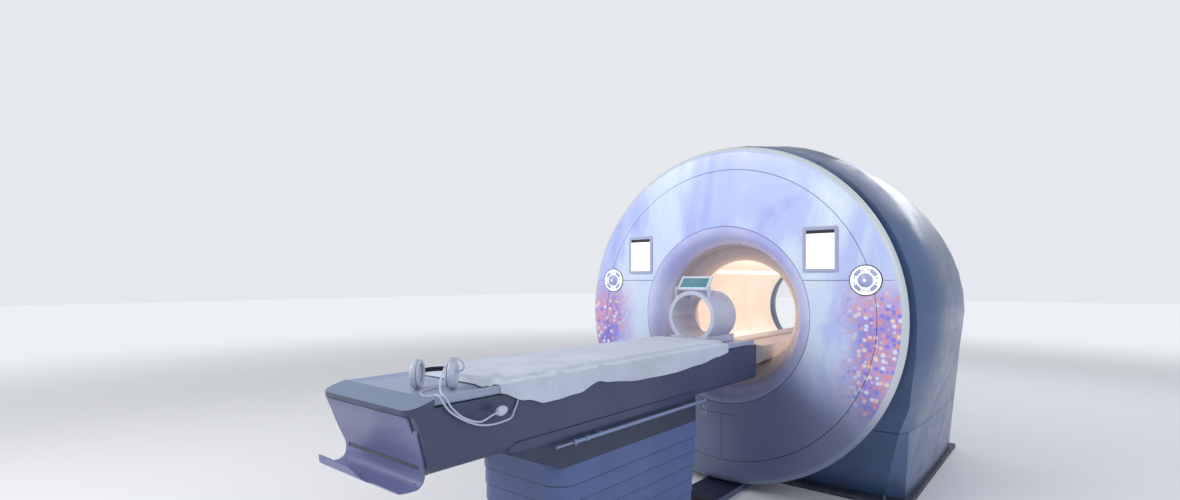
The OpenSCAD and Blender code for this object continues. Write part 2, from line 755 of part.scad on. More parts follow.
module trough_plan() {
    r = 45;
    w = foot_half_w;
    half = concat([[trough_half_w, -board_head], [trough_half_w, -2900], [trough_half_w + 7, -3080],
        [w - 4, -3200], [w, -3250]],
        [for (p = arc(w - r, -trough_foot + r, r, 0, -90, 6)) p]);
    polygon(concat(half, [for (i = [len(half) - 1:-1:0]) [-half[i][0], half[i][1]]]));
}
nose_z = foot_top - 25;
nose_t = 16;
tray_top = [-trough_foot + 20, nose_z - nose_t - 4];
tray_bend = [-trough_foot + 74, 762];
module trough_profile() {
    polygon([
        [-board_foot - seam_w, foot_top], [-trough_foot, nose_z], [-trough_foot, nose_z - nose_t],
        tray_top, tray_bend, [tray_bend[0] + 20, trough_low],
        [-board_head, trough_low], [-board_head, foot_top]]);
}
module table_trough() {
    back = -board_foot - seam_w;
    head = -board_head;
    color("slategray") difference() {
        intersection() {
            along_y(-trough_foot - cut, head) trough_section();
            along_x(300) trough_profile();
            translate([0, 0, 600]) linear_extrude(400) trough_plan();
        }
        // Room for the table top over the side walls and over the deck
        translate([-300, back, trough_rim]) cube([600, head - back + cut, 100]);
        translate([-trough_half_w + trough_t, back, deck_z])
            cube([2 * (trough_half_w - trough_t), head - back + cut, 100]);
        // Hollow under the deck, open over the lift
        translate([-190, -3180, trough_low + trough_t])
            cube([380, 3180 + head - trough_t, deck_z - deck_t - trough_low - trough_t]);
        translate([-150, lift_y - 170, trough_low - cut]) cube([300, 340, trough_t + 2 * cut]);
    }
}
module foot_tray() {
    gap = [-fit / cos(20), 0];
    top = lerp(tray_top, tray_bend, 0.02) + gap;
    bend = lerp(tray_top, tray_bend, 0.98) + gap;
    low = trough_low - 30;
    path = concat([top, bend, [bend[0] + 4, 742], [bend[0] + 5, 722]],
        [for (i = [1:6]) let (a = -80 * i / 6) [bend[0] - 31 + 36 * cos(a), 722 + 36 * sin(a)]],
        [[-trough_foot - 2, low], [-trough_foot - 14, low + 4], [-trough_foot - 21, low + 12],
        [-trough_foot - 24, low + scoop_lip]]);
    wide = foot_half_w - 6;
    color("thistle") difference() {
        intersection() {
            along_x(foot_half_w) polygon(sheet_outline(path, -tray_t));
            along_y(-trough_foot - 60, -trough_foot + 120) polygon([
                [-scoop_half_w, low - 20], [scoop_half_w, low - 20], [scoop_half_w, 742],
                [scoop_half_w + 4, 765], [wide - 6, 870], [wide, tray_top[1]],
                [-wide, tray_top[1]], [-wide + 6, 870], [-scoop_half_w - 4, 765], [-scoop_half_w, 742]]);
            translate([0, 0, 600]) linear_extrude(400) union() {
                translate([-300, -trough_foot + 35]) square([600, 200]);
                translate([-300, -trough_foot - 60]) square([300 + scoop_half_w - 60, 200]);
                translate([scoop_half_w - 60, -trough_foot + 35]) circle(r = 60);
            }
        }
        // Slot over the scoop, and the lip cut down to the right in a long curve
        translate([-scoop_half_w + 22, -trough_foot + 20, 735]) cube([2 * scoop_half_w - 44, 120, 14]);
        along_y(-trough_foot - 60, -trough_foot - 6) polygon(concat(
            [for (i = [0:8]) let (t = i / 8)
                [lerp(-60, 90, t), low + lerp(scoop_lip + 2, 1, (1 - cos(180 * t)) / 2)]],
            [[300, low + 1], [300, low + 100], [-60, low + 100]]));
        for (p = [[-205, -trough_foot + 60], [205, -trough_foot + 60], [190, -trough_foot + 8]])
            translate([p[0], p[1], 600]) cylinder(r = 3, h = 130, $fn = 24);
    }
}

// Drip pole on the hood's side
pole_from = -2640;
pole_to = -1660;
clip_w = 18;
module pole_tube() {
    hook_y = pole_to + 4;
    color("silver") union() {
        difference() {
            translate([pole_x, pole_from, pole_z]) rotate([-90, 0, 0])
                cylinder(r = pole_r, h = pole_to - pole_from);
            translate([pole_x, pole_from - cut, pole_z]) rotate([-90, 0, 0])
                cylinder(r = pole_rod_r + slide_fit, h = pole_to - pole_from - 20 + cut);
        }
        for (y = [pole_from, pole_from + 70]) translate([pole_x, y, pole_z]) rotate([-90, 0, 0])
            difference() {
            cylinder(r = pole_r + 3, h = 16);
            translate([0, 0, -cut]) cylinder(r = pole_r - 1, h = 16 + 2 * cut);
        }
        // Clips to the hood
        for (y = [pole_from + 160, pole_to - 160]) difference() {
            translate([skirt_half_w + fit, y, pole_z - 9]) cube([pole_x - skirt_half_w, clip_w, 18]);
            translate([pole_x, y - cut, pole_z]) rotate([-90, 0, 0])
                cylinder(r = pole_r - 1, h = clip_w + 2 * cut);
        }
        // End fitting and wire hook
        translate([pole_x, pole_to, pole_z]) rotate([-90, 0, 0]) cylinder(r = pole_r + 3, h = 14);
        translate([pole_x, hook_y, pole_z]) pole_hook();
    }
}
hook_wire = 3;
// A wire hook in the plane of Y and Z: a straight drop, a turn out and a loop back
module wire_arc(y, z, r, from, to) {
    translate([0, y, z]) rotate([90, 0, 90]) rotate([0, 0, from])
        rotate_extrude(angle = to - from, $fn = 64) translate([r, 0]) circle(r = hook_wire, $fn = 24);
}
module pole_hook() {
    drop = 24;
    turn_r = 12;
    loop_r = 15;
    translate([0, 0, -drop]) cylinder(r = hook_wire, h = drop, $fn = 24);
    wire_arc(turn_r, -drop, turn_r, 180, 270);
    wire_arc(turn_r, -drop - turn_r - loop_r, loop_r, -180, 90);
}
module pole_rod() {
    exposed = 96;
    inside = pole_travel + 60;
    color("silver") translate([pole_x, pole_from - exposed, pole_z]) rotate([-90, 0, 0]) union() {
        cylinder(r = pole_rod_r, h = exposed + inside);
        cylinder(r = pole_rod_r + 1.5, h = 10);
    }
}

// Table top and what lies on it
module board_plan(inset) {
    r = 60;
    translate([-board_half_w + inset, -board_foot + inset])
        square([2 * (board_half_w - inset), board_foot - board_head - inset - r]);
    translate([-board_half_w + r, -board_head - 2 * r])
        square([2 * (board_half_w - r), 2 * r - inset]);
    for (x = [-1, 1]) translate([x * (board_half_w - r), -board_head - r]) circle(r = r - inset);
}
module tabletop() {
    half = [[0, board_h - 14], [board_half_w - 40, board_h - 12], [board_half_w - 22, board_h - 7],
        [board_half_w - 14, board_h - 1], [board_half_w - 8, board_h], [board_half_w - 2, board_h - 2],
        [board_half_w, board_h - 6], [board_half_w, rim_low + 5], [board_half_w - 5, rim_low],
        [keel_half_w + 30, rim_low - 2], [keel_half_w, deck_z + fit]];
    color("whitesmoke") intersection() {
        along_y(-board_foot, -board_head)
            polygon(concat(half, [for (i = [len(half) - 1:-1:1]) [-half[i][0], half[i][1]]]));
        translate([0, 0, deck_z]) linear_extrude(100) board_plan(0);
    }
}
pad_foot = 2960;
pad_head = 1380;
pad_low = board_h - 12 + fit;
pad_top = pad_low + mattress_t;
module mattress() {
    r = 12;
    w = board_half_w - pad_inset;
    color("slategray") along_y(-pad_foot, -pad_head) polygon(concat(
        [[-w, pad_low], [w, pad_low]],
        arc(w - r, pad_top - r, r, 0, 90, 5), arc(-w + r, pad_top - r, r, 90, 180, 5)));
}
// The sheet lies over the mattress and hangs over the rims, lower in some places than others
sheet_t = 3;
sheet_steps = 26;
sheet_x = board_half_w + 1.2;
function hang(y) = 58 + 16 * sin((y + 2970) * 0.62) + 12 * sin((y + 2970) * 1.31 + 40);
function sheet_half(y, side) =
    let (d = min(hang(y * side), 84), top = pad_top + fit + 1.2, w = board_half_w - pad_inset,
        wave = 1.5 + 1.5 * sin(y * 1.1))
    [[0, top], [w - 8, top], [w + 6, top - 5], [board_half_w - 8, board_h + 0.8],
        [board_half_w - 2, board_h - 0.4], [sheet_x, board_h - 7], [sheet_x + wave, board_h - d]];
function sheet_loop(y) =
    let (a = sheet_half(y, 1), b = sheet_half(y, -1), n = len(a),
        up = [0, 0, 0, 0, 1, 2.4, 2.4])
    concat(
        [for (i = [0:n - 1]) [a[i][0], y, a[i][1]]],
        [for (i = [n - 1:-1:0]) [a[i][0] + up[i], y, a[i][1] + (i < n - 1 ? sheet_t : 0) - (i == 5 ? 2 : 0)]],
        [for (i = [1:n - 1]) [-b[i][0] - up[i], y, b[i][1] + (i < n - 1 ? sheet_t : 0) - (i == 5 ? 2 : 0)]],
        [for (i = [n - 1:-1:1]) [-b[i][0], y, b[i][1]]]);
sheet_foot = 2975;
sheet_head = 1345;
module bed_sheet() {
    // The loop's strip starts at its point on the right hem
    hem_at = 7;
    color("white")
        loft([for (i = [0:sheet_steps]) sheet_loop(lerp(-sheet_foot, -sheet_head, i / sheet_steps))], hem_at);
}

// Head coil with its mirror
coil_axis_z = board_h - 12 + fit + coil_r;
coil_low = board_h - 12 + fit;
coil_split = coil_axis_z - 10;
module coil_tube(r) {
    translate([0, -coil_foot, coil_axis_z]) rotate([-90, 0, 0]) cylinder(r = r, h = coil_l, $fn = 96);
}
module coil_base() {
    color("gainsboro") difference() {
        union() {
            coil_tube(coil_r);
            translate([-120, -coil_foot - 30, coil_low]) cube([240, coil_l + 60, 40]);
        }
        translate([0, -coil_foot - 60, coil_axis_z]) rotate([-90, 0, 0])
            cylinder(r = coil_r - coil_t, h = coil_l + 200, $fn = 96);
        translate([-300, -coil_foot - 60, coil_split]) cube([600, coil_l + 200, 300]);
    }
}
module coil_top() {
    window_l = 70;
    color("whitesmoke") difference() {
        coil_tube(coil_r);
        translate([0, -coil_foot - cut, coil_axis_z]) rotate([-90, 0, 0])
            cylinder(r = coil_r - coil_t, h = coil_l + 2 * cut, $fn = 96);
        translate([-300, -coil_foot - 60, coil_axis_z - 300]) cube([600, coil_l + 200, 300 - 10 + fit]);
        // Openings over the face, with a bar between them
        for (x = [-1, 1]) translate([x * 48 - 32, -coil_foot + 40, coil_axis_z + 60])
            cube([64, window_l, 200]);
        translate([-50, -coil_foot + 150, coil_axis_z + 60]) cube([100, 60, 200]);
        // Sockets for the mirror's trunnions
        translate([-150, mirror_y, mirror_z]) rotate([0, 90, 0]) cylinder(r = 5 + fit, h = 300);
    }
    color("whitesmoke") for (x = [-1, 1]) mirror_post(x);
}
mirror_y = -coil_foot + 20;
mirror_z = coil_axis_z + coil_r + 14;
post_x = mirror_w / 2 + 1;
module mirror_post(side) {
    post_t = 10;
    foot_z = coil_axis_z + 90;
    difference() {
        translate([side > 0 ? post_x : -post_x - post_t, mirror_y - 12, foot_z])
            cube([post_t, 24, mirror_z + 10 - foot_z]);
        translate([-200, mirror_y, mirror_z]) rotate([0, 90, 0]) cylinder(r = 5 + fit, h = 400);
    }
}
module head_mirror() {
    tilt = 40;
    mirror_frame_t = 10;
    color("white") translate([0, mirror_y, mirror_z]) union() {
        rotate([-tilt, 0, 0]) difference() {
            translate([-mirror_w / 2, -mirror_frame_t / 2, -12]) cube([mirror_w, mirror_frame_t, mirror_l]);
            translate([-mirror_w / 2 + 14, -mirror_frame_t / 2 - cut, 2])
                cube([mirror_w - 28, 4, mirror_l - 28]);
        }
        rotate([0, 90, 0]) translate([0, 0, -post_x - 10]) cylinder(r = 5, h = 2 * post_x + 20);
    }
}

// Headset, its tube and the call bulb
cup_r = 50;
cup_t = 26;
cup_gap = 92;
headset_at = [76, -3112, board_h - 12.4 + cup_r];
headset_turn = 40;
module headset() {
    color("white") translate(headset_at) rotate([0, 0, headset_turn]) union() {
        for (s = [-1, 1]) translate([s * cup_gap / 2, 0, 0]) rotate([0, s * 90, 0]) {
            cylinder(r1 = cup_r - 4, r2 = cup_r, h = 6);
            translate([0, 0, 6]) cylinder(r = cup_r, h = cup_t - 10);
            translate([0, 0, cup_t - 4]) cylinder(r1 = cup_r, r2 = cup_r - 8, h = 6);
        }
        // Band that joins the cups over the head
        translate([0, 20, 0]) rotate([0, 0, 0]) linear_extrude(18, center = true) band_shape();
    }
}
module band_shape() {
    outer = cup_gap / 2 + 12;
    difference() {
        union() {
            translate([0, 40]) circle(r = outer);
            translate([-outer, -10]) square([2 * outer, 50]);
        }
        translate([0, 40]) circle(r = outer - 6);
        translate([-outer + 6, -outer]) square([2 * outer - 12, 40 + outer]);
        translate([-outer, -outer - 10]) square([2 * outer, outer]);
    }
}
tube_r = 3;
// Route of the headset's air tube, over the near corner of the table top and back under the sheet
headset_route = [
    [109.9, -3083.9, 962], [98, -3096, 952], [86, -3135, 949], [112, -3188, 949], [170, -3220, 949],
    [222, -3228, 955], [245, -3229, 962], [265, -3226, 957], [275, -3218, 936], [278, -3195, 908],
    [280, -3150, 878], [281, -3090, 852], [281, -3030, 843], [278, -2968, 846], [267, -2938, 851],
    [253, -2916, 864], [250, -2900, 886], [250, -2894, 906]
];
bulb_at = [285, -3002, 882];
bulb_r = 16;
bulb_l = 50;
// Route of the bulb's air tube, over the rim and over the nearer cup
bulb_route = [
    [285, -3027.4, 877.5], [285, -3045, 873], [284, -3091, 862], [280, -3150, 885], [277, -3191, 920],
    [268, -3207, 952], [247, -3208, 963], [215, -3190, 985], [175, -3150, 1015], [148, -3112, 1038],
    [130, -3081, 1049], [139, -3064, 1045], [150, -3052, 1031], [152, -3049, 1014], [143.5, -3055.4, 1005],
    [132.9, -3064.2, 1003]
];
module headset_tube() {
    color("white") cord_tube(smooth_route(headset_route, 5), tube_r, 8);
}
module bulb_tube() {
    color("white") cord_tube(smooth_route(bulb_route, 5), tube_r, 8);
}
module call_bulb() {
    steps = 10;
    color("whitesmoke") translate(bulb_at) rotate([-80, 0, 0]) rotate_extrude() polygon(concat(
        [[0, -bulb_l / 2]],
        [for (i = [1:steps - 1]) let (a = -90 + 180 * i / steps) [bulb_r * cos(a), bulb_l / 2 * sin(a)]],
        [[0, bulb_l / 2]]));
}

floor_plate();
magnet_vessel();
gradient_coil();
bore_liner();
bore_lights();
bore_bridge();
front_frame();
front_rim();
front_cover_upper();
front_cover_lower();
front_funnel();
rear_cover();
top_cover();
side_cover(-1);  // side_cover_left
side_cover(1);  // side_cover_right
lower_cover(-1);  // lower_cover_left
lower_cover(1);  // lower_cover_right
display(-1);  // display_left
display(1);  // display_right
screen(-1);  // screen_left
screen(1);  // screen_right
dial_ring(-1);  // dial_ring_left
dial_ring(1);  // dial_ring_right
knob(-1);  // knob_left
knob(1);  // knob_right
for (q = [0:3]) {
    key(-1, q);
    key(1, q);
}
table_base();
docking_step();
lift_column();
on_table() lift_stage();
on_table() lift_mast();
for (i = [1:skirt_count - 1])
    skirt(i);
on_table() table_hood();
on_table() table_trough();
on_table() foot_tray();
on_table() pole_tube();
on_table() pole_rod();
on_table() tabletop();
on_table() mattress();
on_table() bed_sheet();
on_table() coil_base();
on_table() coil_top();
on_table() head_mirror();
on_table() headset();
on_table() headset_tube();
on_table() call_bulb();
on_table() bulb_tube();
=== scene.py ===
import json
import math
import bmesh
import bpy
from mathutils import Matrix, Vector, noise


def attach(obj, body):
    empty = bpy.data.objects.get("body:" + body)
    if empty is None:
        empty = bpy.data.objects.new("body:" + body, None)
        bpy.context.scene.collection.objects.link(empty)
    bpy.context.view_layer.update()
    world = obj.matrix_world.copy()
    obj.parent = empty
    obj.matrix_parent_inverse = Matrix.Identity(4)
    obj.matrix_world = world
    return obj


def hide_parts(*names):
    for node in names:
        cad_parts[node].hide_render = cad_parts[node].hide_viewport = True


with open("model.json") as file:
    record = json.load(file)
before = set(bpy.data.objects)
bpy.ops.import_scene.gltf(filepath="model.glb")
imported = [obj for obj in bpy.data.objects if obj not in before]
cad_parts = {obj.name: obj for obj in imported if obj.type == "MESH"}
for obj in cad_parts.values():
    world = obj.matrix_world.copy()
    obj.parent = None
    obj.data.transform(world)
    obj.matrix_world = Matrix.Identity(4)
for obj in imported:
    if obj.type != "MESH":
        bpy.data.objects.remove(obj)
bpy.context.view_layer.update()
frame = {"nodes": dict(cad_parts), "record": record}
nodes = frame["nodes"]
print("frame loaded,", len(nodes), "nodes")

# camera
view = {"place": (1.728, -4.279, 1.306), "turn": 39.9, "lens": 17.878, "shiftY": 0.0257}
camera = bpy.data.objects.new("camera", bpy.data.cameras.new("camera"))
bpy.context.scene.collection.objects.link(camera)
camera.location = view["place"]
camera.rotation_euler = (math.radians(90), 0, math.radians(view["turn"]))
camera.data.lens = view["lens"]
camera.data.shift_y = view["shiftY"]
camera.data.clip_start = 0.05
bpy.context.scene.camera = camera
print("camera set")


# small helpers
def lerp(a, b, t):
    return a + (b - a) * t


def smooth(a, b, x):
    t = min(1, max(0, (x - a) / (b - a)))
    return t * t * (3 - 2 * t)


def tone(r, g, b):  # a colour as it looks on a screen, as the linear value that a socket takes
    return tuple(c / 12.92 if c < 0.04 else ((c + 0.055) / 1.055) ** 2.4 for c in (r, g, b)) + (1.0,)


def shaded(colour, share):
    return tuple(c * share for c in colour[:3]) + (1.0,)


def newObject(name, data, body, material=None, stands=()):
    piece = bpy.data.objects.new(name, data)
    bpy.context.scene.collection.objects.link(piece)
    if material:
        data.materials.append(material)
    if stands:
        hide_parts(*stands)
    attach(piece, body)
    return piece


def faceOutward(mesh):
    made = bmesh.new()
    made.from_mesh(mesh)
    bmesh.ops.recalc_face_normals(made, faces=made.faces)
    made.to_mesh(mesh)
    made.free()


def meshFrom(name, verts, faces, soft=True, closed=True):
    mesh = bpy.data.meshes.new(name)
    mesh.from_pydata([tuple(v) for v in verts], [], faces)
    mesh.validate()
    if closed:
        faceOutward(mesh)
    for face in mesh.polygons:
        face.use_smooth = soft
    mesh.update()
    return mesh


def gridFaces(rows, cols, closed=False):
    wrap = cols if closed else cols - 1
    return [(r * cols + c, r * cols + (c + 1) % cols, (r + 1) * cols + (c + 1) % cols, (r + 1) * cols + c)
            for r in range(rows - 1) for c in range(wrap)]


def ringFaces(rows, cols):  # from the last row back to the first
    last = (rows - 1) * cols
    return [(last + k, last + (k + 1) % cols, (k + 1) % cols, k) for k in range(cols)]


def endCaps(rows, cols):
    last = (rows - 1) * cols
    return [tuple(reversed(range(cols))), tuple(last + k for k in range(cols))]


def lathe(name, profile, turns, place, onAxis=0.002):
    # a turned mesh from (radius, height) pairs, set in place by a matrix: a ring where both ends stand off
    # the axis at one radius, and otherwise closed at both ends
    verts = [place @ Vector((r * math.cos(2 * math.pi * k / turns), r * math.sin(2 * math.pi * k / turns), h))
             for r, h in profile for k in range(turns)]
    faces = gridFaces(len(profile), turns, closed=True)
    ring = profile[0][0] == profile[-1][0] and profile[0][0] > onAxis
    faces += ringFaces(len(profile), turns) if ring else endCaps(len(profile), turns)
    return meshFrom(name, verts, faces)


def joined(name, meshes):
    made = bmesh.new()
    for mesh in meshes:
        made.from_mesh(mesh)
    result = bpy.data.meshes.new(name)
    made.to_mesh(result)
    made.free()
    return result


def modifier(piece, kind, **settings):
    made = piece.modifiers.new(kind.lower(), kind)
    for key, value in settings.items():
        setattr(made, key, value)
    return made


def applied(piece):
    # the mesh with its modifiers worked in
    graph = bpy.context.evaluated_depsgraph_get()
    graph.update()
    mesh = bpy.data.meshes.new_from_object(piece.evaluated_get(graph))
    piece.modifiers.clear()
    old, piece.data = piece.data, mesh
    bpy.data.meshes.remove(old)
    return piece


# materials
def addNode(tree, kind, inputs=None, **settings):
    node = tree.nodes.new(kind)
    for key, value in settings.items():
        setattr(node, key, value)
    for key, value in (inputs or {}).items():
        if isinstance(value, bpy.types.NodeSocket):
            tree.links.new(value, node.inputs[key])
        else:
            node.inputs[key].default_value = value
    return node


def startMaterial(name):
    made = bpy.data.materials.new(name)
    made.use_nodes = True
    tree = made.node_tree
    tree.nodes.clear()
    surface = addNode(tree, "ShaderNodeBsdfPrincipled")
    addNode(tree, "ShaderNodeOutputMaterial", {"Surface": surface.outputs[0]})
    place = addNode(tree, "ShaderNodeTexCoord").outputs["Object"]
    return made, tree, surface, place


def noiseOf(tree, place, scale, detail=3.0, rough=0.5, twist=0.0):
    return addNode(tree, "ShaderNodeTexNoise", {"Vector": place, "Scale": scale, "Detail": detail,
                                                "Roughness": rough, "Distortion": twist}).outputs["Fac"]


def spread(tree, value, low, high, toLow=0.0, toHigh=1.0, soft=True):
    return addNode(tree, "ShaderNodeMapRange", {"Value": value, "From Min": low, "From Max": high,
                                                "To Min": toLow, "To Max": toHigh},
                   interpolation_type="SMOOTHSTEP" if soft else "LINEAR").outputs[0]


def mathOf(tree, operation, a, b=0.0):
    return addNode(tree, "ShaderNodeMath", {0: a, 1: b}, operation=operation).outputs[0]


def mixed(tree, share, a, b):
    return addNode(tree, "ShaderNodeMix", {0: share, 6: a, 7: b}, data_type="RGBA").outputs[2]


def heightOf(tree, vector):
    return addNode(tree, "ShaderNodeSeparateXYZ", {0: vector}).outputs[2]


def distanceFromAxis(tree, across, height, axis):
    rise = mathOf(tree, "SUBTRACT", height, axis)
    return mathOf(tree, "SQRT", mathOf(tree, "ADD", mathOf(tree, "MULTIPLY", rise, rise),
                                       mathOf(tree, "MULTIPLY", across, across)))


def ramp(tree, value, stops, ease="EASE"):
    node = addNode(tree, "ShaderNodeValToRGB", {"Fac": value})
    node.color_ramp.interpolation = ease
    elements = node.color_ramp.elements
    while len(elements) < len(stops):
        elements.new(0.5)
    for element, (spot, colour) in zip(elements, stops):
        element.position, element.color = spot, colour
    return node.outputs["Color"]


def roundedNormal(tree, radius, grain, depth, place):
    # worn, rounded edges under a fine moulded grain
    rounded = addNode(tree, "ShaderNodeBevel", {"Radius": radius}, samples=4).outputs[0]
    fine = noiseOf(tree, place, grain, 2.0)
    return addNode(tree, "ShaderNodeBump", {"Strength": 0.6, "Distance": depth, "Height": fine,
                                            "Normal": rounded}).outputs[0]


def mouldedPlastic(name, look):
    made, tree, surface, place = startMaterial(name)
    broad = noiseOf(tree, place, 2.2, 4.0, 0.55)
    base = look["colour"]
    colour = mixed(tree, spread(tree, broad, 0.35, 0.68), shaded(base, look.get("shade", 0.86)), base)
    if "dustTop" in look:  # scuffs and dust that thin out with height
        height = heightOf(tree, place)
        patches = spread(tree, noiseOf(tree, place, 14.0, 6.0, 0.7), 0.42, 0.62)
        low = spread(tree, height, look["dustTop"], 0.0, 0.0, 0.55)
        colour = mixed(tree, mathOf(tree, "MULTIPLY", patches, low), colour, look["dust"])
    if "upper" in look:  # paler where the piece faces the lamps
        facing = addNode(tree, "ShaderNodeNewGeometry").outputs["Normal"]
        colour = mixed(tree, spread(tree, heightOf(tree, facing), 0.2, 0.45), colour, look["upper"])
    if "lipShadow" in look:  # painted shadow: a dark band under the lip of each nested skirt, where the gap between skirts lies in shade
        height = heightOf(tree, place)
        below = mathOf(tree, "SUBTRACT", look["lipShadow"]["top"], height)
        part = mathOf(tree, "FRACT", mathOf(tree, "DIVIDE", below, look["lipShadow"]["pitch"]))
        start, end = look["lipShadow"]["start"], look["lipShadow"]["end"]
        band = mathOf(tree, "MULTIPLY", spread(tree, part, start - 0.005, start, soft=False),
                      spread(tree, part, end, end - 0.012, soft=False))
        band = mathOf(tree, "MULTIPLY", band, spread(tree, below, 0.04, 0.05, soft=False))
        colour = mixed(tree, band, colour, look["lipShadow"]["colour"])
    surface.inputs["Base Color"].default_value = base
    tree.links.new(colour, surface.inputs["Base Color"])
    wiped = noiseOf(tree, place, 6.0, 5.0, 0.6, 0.8)
    rough = look.get("rough", 0.36)
    tree.links.new(spread(tree, wiped, 0.3, 0.7, rough - 0.06, rough + 0.08), surface.inputs["Roughness"])
    surface.inputs["Coat Weight"].default_value = look.get("coat", 0.0)
    surface.inputs["Coat Roughness"].default_value = 0.2
    tree.links.new(roundedNormal(tree, look.get("edge", 0.002), look.get("grain", 650.0),
                                 look.get("depth", 0.00003), place), surface.inputs["Normal"])
    return made


def litFace(name, look):
    made, tree, surface, place = startMaterial(name)
    patches = noiseOf(tree, place, look.get("driftScale", 9.0), 2.0)
    glow = mixed(tree, spread(tree, patches, 0.3, 0.7), look["colour"], look["second"])
    tree.links.new(glow, surface.inputs["Base Color"])
    tree.links.new(glow, surface.inputs["Emission Color"])
    surface.inputs["Emission Strength"].default_value = look["strength"]
    surface.inputs["Roughness"].default_value = 0.25
    tree.links.new(roundedNormal(tree, 0.001, 500.0, 0.00002, place), surface.inputs["Normal"])
    return made


def brushedMetal(name, look):
    made, tree, surface, place = startMaterial(name)
    stretched = addNode(tree, "ShaderNodeMapping", {"Vector": place, "Scale": look["stretch"]}).outputs[0]
    lines = noiseOf(tree, stretched, 60.0, 4.0, 0.7)
    colour = mixed(tree, lines, shaded(look["colour"], 0.82), look["colour"])
    tree.links.new(colour, surface.inputs["Base Color"])
    surface.inputs["Metallic"].default_value = look.get("metal", 0.9)
    tree.links.new(spread(tree, lines, 0.2, 0.8, look["rough"] - 0.08, look["rough"] + 0.1),
                   surface.inputs["Roughness"])
    rounded = addNode(tree, "ShaderNodeBevel", {"Radius": 0.001}, samples=4).outputs[0]
    tree.links.new(addNode(tree, "ShaderNodeBump", {"Strength": 0.3, "Distance": 0.00005, "Height": lines,
                                                    "Normal": rounded}).outputs[0], surface.inputs["Normal"])
    return made


def wovenCloth(name, look):
    made, tree, surface, place = startMaterial(name)
    warp, weft = (addNode(tree, "ShaderNodeTexWave",
                          {"Vector": place, "Scale": look["threads"], "Distortion": 0.6},
                          bands_direction=way).outputs["Fac"] for way in "XY")
    weave = mathOf(tree, "MAXIMUM", warp, weft)
    soft = noiseOf(tree, place, 16.0, 5.0, 0.6, 0.5)
    shade = shaded(look["colour"], 0.86)
    colour = mixed(tree, spread(tree, noiseOf(tree, place, 5.0, 4.0), 0.3, 0.7), shade, look["colour"])
    colour = mixed(tree, spread(tree, weave, 0.0, 1.0, 0.10, 0.0), colour, shade)
    tree.links.new(colour, surface.inputs["Base Color"])
    surface.inputs["Roughness"].default_value = 0.85
    surface.inputs["Sheen Weight"].default_value = 0.25
    surface.inputs["Sheen Roughness"].default_value = 0.5
    surface.inputs["Specular IOR Level"].default_value = 0.25
    creased = addNode(tree, "ShaderNodeBump", {"Strength": 0.5, "Distance": look.get("crease", 0.004),
                                               "Height": soft}).outputs[0]
    tree.links.new(addNode(tree, "ShaderNodeBump", {"Strength": 0.35, "Distance": 0.0001, "Height": weave,
                                                    "Normal": creased}).outputs[0], surface.inputs["Normal"])
    return made


boreAxis = 1.09

# the front's pale cover, painted with light: a soft wash of lavender and pale blue and loose dots on the flanks
# stand for a projected picture, and painted shade darkens its foot and the foot of its rim
coverLook = {"footShade": tone(0.40, 0.43, 0.56), "dotScale": 36.0,
             "rim": {"from": 1.022, "top": tone(0.80, 0.83, 0.85), "low": tone(0.46, 0.51, 0.62)}}


